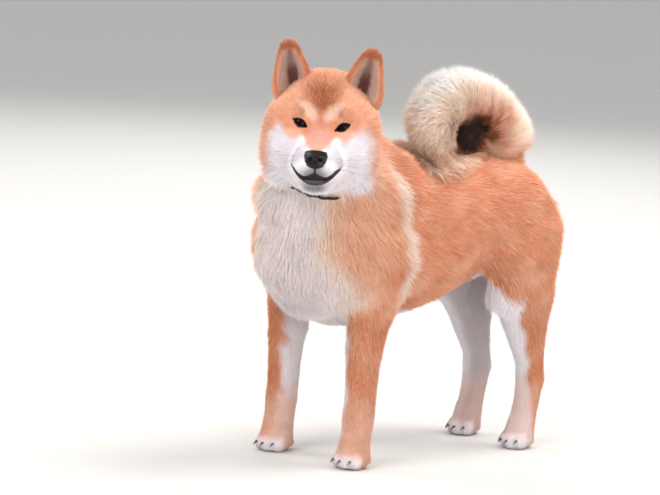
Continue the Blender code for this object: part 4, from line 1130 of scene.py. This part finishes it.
# The patch of each tuft in the bake map, and how much its ridge and its tip differ from its colour.
TUFT_PATCH = np.array([(0, 0), (0.003, 0), (0.0015, 0), (0.0015, 0.003)])
TUFT_TONES = np.array((0.9, 0.9, 0.9, 1.03))
ROOT_DEPTH = 0.9
RIDGE = 0.38


def grow(name, tufts):
    """One coat piece: a thin closed spike for each root."""
    root, out, lie, length, depth, width, colour, uv, place = tufts.values()
    reach, rise = length * MM, depth * MM
    half = np.cross(lie, out) * width * MM / 2
    n = len(root)
    run = np.sqrt(np.clip(reach ** 2 - rise ** 2, 0, None))
    foot = root - out * ROOT_DEPTH * MM
    tip = root + lie * run + out * rise + unit(half) * dice.normal(0, 0.08, (n, 1)) * reach
    verts = np.stack([foot - half, foot + half, foot + out * RIDGE * width * MM, tip], 1)
    verts[:, :, 2] = np.maximum(verts[:, :, 2], TUFT_GAP * MM)
    shade = dice.normal(1, 0.045, (n, 1)) * (1 + 0.04 * waves(place, 12, 9)[:, None])
    tones = (colour * shade)[:, None] * TUFT_TONES[None, :, None]
    uvs = np.clip(uv[:, None] + TUFT_PATCH[None], 0, 1)
    faces = (TUFT_FACES[None] + 4 * np.arange(n)[:, None, None]).reshape(-1, 3)
    mesh = bpy.data.meshes.new(name)
    mesh.vertices.add(4 * n)
    mesh.vertices.foreach_set("co", verts.astype(np.float32).ravel())
    mesh.loops.add(12 * n)
    mesh.loops.foreach_set("vertex_index", faces.astype(np.int32).ravel())
    mesh.polygons.add(4 * n)
    mesh.polygons.foreach_set("loop_start", np.arange(0, 12 * n, 3, dtype=np.int32))
    mesh.update(calc_edges=True)
    layer = mesh.uv_layers.new(name="OFBake")
    layer.data.foreach_set("uv", uvs.reshape(-1, 2)[faces.ravel()].astype(np.float32).ravel())
    set_colours(mesh, tones.reshape(-1, 3))
    piece = smooth_shaded(placed(name, mesh))
    # The slopes take the light much as the skin below them does, so that the coat looks soft.
    slopes = [unit(out + sign * unit(half) * 0.4 - lie * 0.15) for sign in (1, -1)]
    leans = np.repeat(np.stack([-lie, -out, *slopes], 1), 3, axis=1)
    mesh.normals_split_custom_set(leans.reshape(-1, 3).astype(np.float32))
    mesh.materials.append(coat)
    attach(piece, "root")
    return piece


fore = (p[:, 2] < 205) & (p[:, 1] < -60) & (np.abs(p[:, 0]) > 20)
hind = (p[:, 2] < 215) & (p[:, 1] > 60)
REGIONS = {
    "head": head_share(q) > 0.5, "tail": brush > 0.5, "forelegs": fore, "hindlegs": hind,
    "neck": (p[:, 1] < -95), "trunk": np.ones(TUFTS, bool),
}
MOST = 47000
left = kept.copy()
for name, where in REGIONS.items():
    members = np.flatnonzero(where & left)
    left[members] = False
    members = members[np.argsort(p[members, 1])]
    for k, start in enumerate(range(0, len(members), MOST)):
        some = members[start:start + MOST]
        piece = grow("coat_" + name + "_" + str(k + 1), {key: all_of[some] for key, all_of in tufts.items()})
        print(piece.name, len(piece.data.polygons), "triangles")

# %% [markdown]
# Whiskers are stiffer and much longer than fur. They stand in rows on both sides of the muzzle, with a
# few over the eyes and under the chin, and are spikes of the same kind with a direction of their own.

# %% Whiskers
# Place and direction on the head's ruler, then the length; the right side mirrors the left.
WHISKERS = [
    (20, -90, -56, 1, 0.1, 0.2, 30), (23, -86, -55, 1, 0.3, 0.25, 36), (25, -80, -56, 1, 0.5, 0.15, 40),
    (20, -91, -61, 1, 0.1, 0.0, 30), (24, -86, -60, 1, 0.3, 0.0, 38), (26, -80, -61, 1, 0.5, -0.05, 42),
    (20, -90, -66, 1, 0.1, -0.2, 26), (24, -85, -66, 1, 0.3, -0.25, 34), (26, -79, -66, 1, 0.5, -0.2, 36),
    (19, -52, 1, 0.5, -0.5, 1, 15), (24, -50, 3, 0.7, -0.4, 1, 17), (6, -88, -93, 0.2, -0.5, -1, 13),
    (13, -80, -95, 0.4, -0.3, -1, 15), (46, -46, -48, 1, -0.2, -0.1, 20),
]
WHISKER_WIDTH = 0.55
skin_tree = BVHTree.FromObject(skin, bpy.context.evaluated_depsgraph_get())
grown = []
for x, y, z, dx, dy, dz, long in WHISKERS:
    for side in (1, -1):
        place, out, _, _ = skin_tree.find_nearest(HEAD @ mm(side * x, y, z))
        grown.append((place, out, (HEAD.to_3x3() @ Vector((side * dx, dy, dz))).normalized(), (long,)))
whisker_roots, whisker_outs, whisker_ways, whisker_lengths = (np.array(column) for column in zip(*grown))
nearest = [int(((roots - root) ** 2).sum(1).argmin()) for root in whisker_roots]
n = len(grown)
grow("whiskers", {
    "root": whisker_roots, "out": whisker_outs, "lie": whisker_ways, "length": whisker_lengths,
    "depth": np.zeros((n, 1)), "width": np.full((n, 1), WHISKER_WIDTH),
    "colour": np.tile(light("6E5D5A"), (n, 1)), "uv": root_uv[nearest], "place": p[nearest],
})
print("whiskers:", n)

# %% [markdown]
# The eyes are dark brown, almost black, and wet. Each is a ball with a clear shine, behind a thin
# black rim along the edge of its lids.

# %% Eyes and lids
wet, tree = finish("wet_dark_brown_eye")
marks = add(tree, "ShaderNodeAttribute", attribute_name="markings")
ball = add(tree, "ShaderNodeBsdfPrincipled", {"Base Color": marks.outputs["Color"], "Roughness": 0.08,
           "IOR": 1.38, "Specular IOR Level": 0.1, "Coat Weight": 0.1, "Coat Roughness": 0.02})
add(tree, "ShaderNodeOutputMaterial", {"Surface": ball.outputs["BSDF"]})

leather, tree = finish("black_eyelid_leather")
rim_skin = add(tree, "ShaderNodeBsdfPrincipled", {"Base Color": (*light("17120F"), 1), "Roughness": 0.42,
               "IOR": 1.45})
add(tree, "ShaderNodeOutputMaterial", {"Surface": rim_skin.outputs["BSDF"]})
IRIS, PUPIL, EYE_EDGE = light("170D09"), light("0A0706"), light("110A07")
LID_POINTS = 32
LID_RADIUS = 1.1

for name, side in (("left", 1), ("right", -1)):
    shape = bmesh.new()
    ex, ey, ez = EYES[side]
    place = HEAD @ Matrix.Translation(mm(side * ex, ey, ez))
    bmesh.ops.create_uvsphere(shape, u_segments=48, v_segments=32, radius=EYE_RADIUS * MM, matrix=place)
    eyeball = smooth_shaded(as_object(shape, "eyeball_" + name))
    out = measured(points_of(eyeball), HEAD) - np.array((side * ex, ey, ez))
    off_axis = np.hypot(out[:, 0], out[:, 2] + 0.6) * (1 + 9 * (out[:, 1] > 0))
    set_colours(eyeball.data, painted(out, IRIS, (PUPIL, 1 - ramp(off_axis, 2.6, 3.4)),
                                      (EYE_EDGE, ramp(off_axis, 6.2, 7.4))))
    eyeball.data.materials.append(wet)
    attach(eyeball, "root")
    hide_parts("eye_" + name)

    # The rim follows the opening, and lies on the ball or the skin, whichever is further forward.
    places = []
    for k in range(LID_POINTS):
        angle = 2 * math.pi * k / LID_POINTS
        u = OPENING[0] * math.cos(angle)
        v = OPENING[1] * math.copysign(max(0, 1 - abs(math.cos(angle)) ** 1.7), math.sin(angle))
        x = ex + u * math.cos(SLANT) - v * math.sin(SLANT)
        z = ez + u * math.sin(SLANT) + v * math.cos(SLANT)
        inside = (EYE_RADIUS + 0.2) ** 2 - (x - ex) ** 2 - (z - ez) ** 2
        hit = skin_tree.ray_cast(HEAD @ mm(side * x, -140, z), HEAD_BACK)[0]
        on_skin = (to_head @ hit).y / MM - 0.3
        places.append((x, min(ey - math.sqrt(max(4.0, inside)), on_skin), z))
    rim = []
    for k, (x, y, z) in enumerate(places):
        y = (places[k - 1][1] + 2 * y + places[(k + 1) % LID_POINTS][1]) / 4
        rim.append((HEAD @ mm(side * x, y, z), 1))
    lid = smooth_shaded(placed("lid_rim_" + name, tube_mesh(rim, LID_RADIUS, 3, 3, closed=True)))
    lid.data.materials.clear()
    lid.data.materials.append(leather)
    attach(lid, "root")
print("eyes", EYE_RADIUS * 2, "mm across, openings", 2 * OPENING[0], "by", 2 * OPENING[1], "mm")

# %% [markdown]
# Nose leather is hairless skin with a pebbled grain of about a millimetre. The solid has its nostrils
# already; a fine remesh and some easing make its corners round.

# %% Nose leather
pebbled, tree = finish("pebbled_nose_leather")
place = add(tree, "ShaderNodeTexCoord")
grain = add(tree, "ShaderNodeTexVoronoi", {"Vector": place.outputs["Object"], "Scale": 1100})
raised = add(tree, "ShaderNodeBump", {"Height": grain.outputs["Distance"], "Strength": 0.3,
             "Distance": 0.0003})
moist = add(tree, "ShaderNodeBsdfPrincipled", {"Base Color": (*light("0E0B11"), 1), "Roughness": 0.27,
            "IOR": 1.4, "Specular IOR Level": 0.45, "Normal": raised.outputs["Normal"]})
add(tree, "ShaderNodeOutputMaterial", {"Surface": moist.outputs["BSDF"]})


def eased_copy(name, new_name, voxel, times, grow=0.0):
    """A copy of a solid with its faceted corners melted round."""
    made = melted(as_object(merged_copy(name, grow), new_name), voxel, times)
    made.data.materials.clear()
    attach(made, "root")
    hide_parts(name)
    return smooth_shaded(made)


nose = eased_copy("nose", "nose_leather", 0.5, 4, grow=0.3)
nose.data.materials.append(pebbled)
print("nose:", len(nose.data.polygons), "faces")

# %% [markdown]
# The lips are black, finely creased skin, and a shiba's lower lip wears pale along its middle. Towards
# its corners the mouth is only a thin dark line.

# %% Lips
lip_skin, tree = finish("black_lip_skin")
place = add(tree, "ShaderNodeTexCoord")
creases = add(tree, "ShaderNodeTexNoise", {"Vector": place.outputs["Object"], "Scale": 900, "Detail": 2})
raised = add(tree, "ShaderNodeBump", {"Height": creases.outputs["Fac"], "Strength": 0.4,
             "Distance": 0.0005})
marks = add(tree, "ShaderNodeAttribute", attribute_name="markings")
lips = add(tree, "ShaderNodeBsdfPrincipled", {"Base Color": marks.outputs["Color"], "Roughness": 0.45,
           "IOR": 1.45, "Normal": raised.outputs["Normal"]})
add(tree, "ShaderNodeOutputMaterial", {"Surface": lips.outputs["BSDF"]})
for name in ("lip_upper", "lip_lower"):
    lip = eased_copy(name, name + "_skin", 0.6, 3)
    q = measured(points_of(lip), HEAD)
    side = np.abs(q[:, 0])
    low, mouth = mouth_edges(side)
    line = np.maximum(low, mouth - 3) + 1.5
    q[:, 2] += (line - q[:, 2]) * 0.6 * ramp(side, 13, 24)
    set_points(lip, in_world(q, HEAD))
    worn = fall(side, 8, 14) * (1 - ramp(np.abs(q[:, 2] + 84), 1.2, 3.4)) * (name == "lip_lower")
    set_colours(lip.data, painted(q, LIP * 0.8, (GREY, (0.35 + 0.3 * np.sin(q[:, 0] * 2.6)) * worn)))
    lip.data.materials.append(lip_skin)
print("lips made")

# %% [markdown]
# The collar is a thin black braided cord. The ruff hides it at the sides and the nape, and it lies
# lowest under the chin. Claws are dark horn in thin layers, and the hair of the toe hides their roots.

# %% Collar and claws
cord, tree = finish("black_round_cord")
place = add(tree, "ShaderNodeTexCoord")
braid = add(tree, "ShaderNodeTexWave", {"Vector": place.outputs["Object"], "Scale": 320,
            "Distortion": 1.5})
raised = add(tree, "ShaderNodeBump", {"Height": braid.outputs["Fac"], "Strength": 0.6,
             "Distance": 0.0006})
woven = add(tree, "ShaderNodeBsdfPrincipled", {"Base Color": (*light("1C1A1B"), 1), "Roughness": 0.6,
            "Normal": raised.outputs["Normal"]})
add(tree, "ShaderNodeOutputMaterial", {"Surface": woven.outputs["BSDF"]})
collar = eased_copy("collar", "show_collar", 1.0, 6, grow=-0.4)
collar.data.materials.append(cord)
ring = points_of(collar)
from_middle = ring - ring.mean(0)
from_middle[:, 2] = 0
chin_way = np.array((HEAD.to_3x3() @ Vector((-0.2, -1, 0))).normalized())
turned = unit(from_middle) @ chin_way
frontness = ramp(turned, 0.84, 0.98)
inward = 3.0 + 2.5 * np.sin(27 * np.arctan2(from_middle[:, 0], from_middle[:, 1]))
inward = frontness * inward + (1 - frontness) * (10 + 20 * fall(turned, -0.3, 0.8))
ring -= unit(from_middle) * (inward * MM)[:, None]
ring[:, 2] -= frontness * 4 * MM
set_points(collar, ring)

horn, tree = finish("dark_claw_horn")
place = add(tree, "ShaderNodeTexCoord")
layers = add(tree, "ShaderNodeTexNoise", {"Vector": place.outputs["Object"], "Scale": 500, "Detail": 2})
tint = add(tree, "ShaderNodeValToRGB", {"Fac": layers.outputs["Fac"]})
tint.color_ramp.elements[0].color = (*light("2A211E"), 1)
tint.color_ramp.elements[1].color = (*light("6B5A50"), 1)
claws = add(tree, "ShaderNodeBsdfPrincipled", {"Base Color": tint.outputs["Color"], "Roughness": 0.35,
            "IOR": 1.55})
add(tree, "ShaderNodeOutputMaterial", {"Surface": claws.outputs["BSDF"]})
for name in sorted(nodes):
    if name.startswith("claw_"):
        claw = eased_copy(name, name + "_horn", 0.5, 2)
        rounds = points_of(claw)
        set_points(claw, rounds + (rounds.mean(0) - rounds) * 0.2 + np.array((0, 1.2, 0)) * MM)
        claw.data.materials.append(horn)
print("collar and", sum(name.startswith("claw_") for name in nodes), "claws made")

# %% [markdown]
# The skin stands for all the flesh of the solids, and the floor is a plain pale sweep that curves up
# behind the dog, so that no edge shows.

# %% Skin in place of the solids, and the studio
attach(skin, "root")
FLESH = ["torso", "neck"]
for side in ("left", "right"):
    FLESH += [part + "_" + side for part in ("foreleg", "forepaw", "thigh", "shank", "hindpaw")]
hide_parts(*FLESH, "head", "ear_left", "ear_right", "tail_root", "tail_middle", "tail_end")

plain, tree = finish("matt_studio_paper")
paper = add(tree, "ShaderNodeBsdfPrincipled", {"Base Color": (*light("CFCDC9"), 1), "Roughness": 0.9})
add(tree, "ShaderNodeOutputMaterial", {"Surface": paper.outputs["BSDF"]})
profile = [(0, 0), (4.8, 0)]
for k in range(1, 25):
    angle = math.radians(90 * k / 24)
    profile.append((4.8 + 4.5 * math.sin(angle), 4.5 - 4.5 * math.cos(angle)))
sweep = bmesh.new()
line = [sweep.verts.new((across, 0, high)) for across, high in profile]
for near, far in zip(line, line[1:]):
    sweep.edges.new((near, far))
bmesh.ops.spin(sweep, geom=[*sweep.verts, *sweep.edges], cent=(0, 0, 0), axis=(0, 0, 1),
               angle=2 * math.pi, steps=96, use_merge=True)
bmesh.ops.remove_doubles(sweep, verts=sweep.verts, dist=0.001)
bmesh.ops.recalc_face_normals(sweep, faces=sweep.faces)
floor = smooth_shaded(as_object(sweep, "floor"))
floor.data.materials.append(plain)


def lamp(name, place, aim, size, power, colour):
    data = bpy.data.lights.new(name, "AREA")
    data.shape = "DISK"
    data.size = size
    data.energy = power
    data.color = colour
    made = placed(name, data)
    made.location = place
    made.rotation_euler = (Vector(aim) - Vector(place)).to_track_quat("-Z", "Y").to_euler()


lamp("key", (0.5, -2.9, 3.0), (0, 0, 0.25), 2.2, 76, (1, 0.98, 0.95))
lamp("fill", (3.3, -1.0, 1.0), (0, 0, 0.25), 2.2, 42, (1, 0.98, 0.96))
lamp("left", (-2.4, -1.1, 2.2), (0, 0, 0.38), 1.8, 38, (1, 0.98, 0.96))
lamp("back", (-2.6, 2.2, 2.0), (0, 0, 0.3), 2.2, 34, (1, 0.99, 0.98))
lamp("top", (0.7, 1.6, 3.0), (0, 0, 0.3), 2.4, 100, (1, 0.99, 0.97))
world = bpy.data.worlds.new("studio")
bpy.context.scene.world = world
world.use_nodes = True
background = world.node_tree.nodes["Background"].inputs
background["Color"].default_value = (0.86, 0.88, 0.92, 1)
background["Strength"].default_value = 0.75
bpy.context.scene.view_settings.view_transform = "Standard"
print("studio ready")
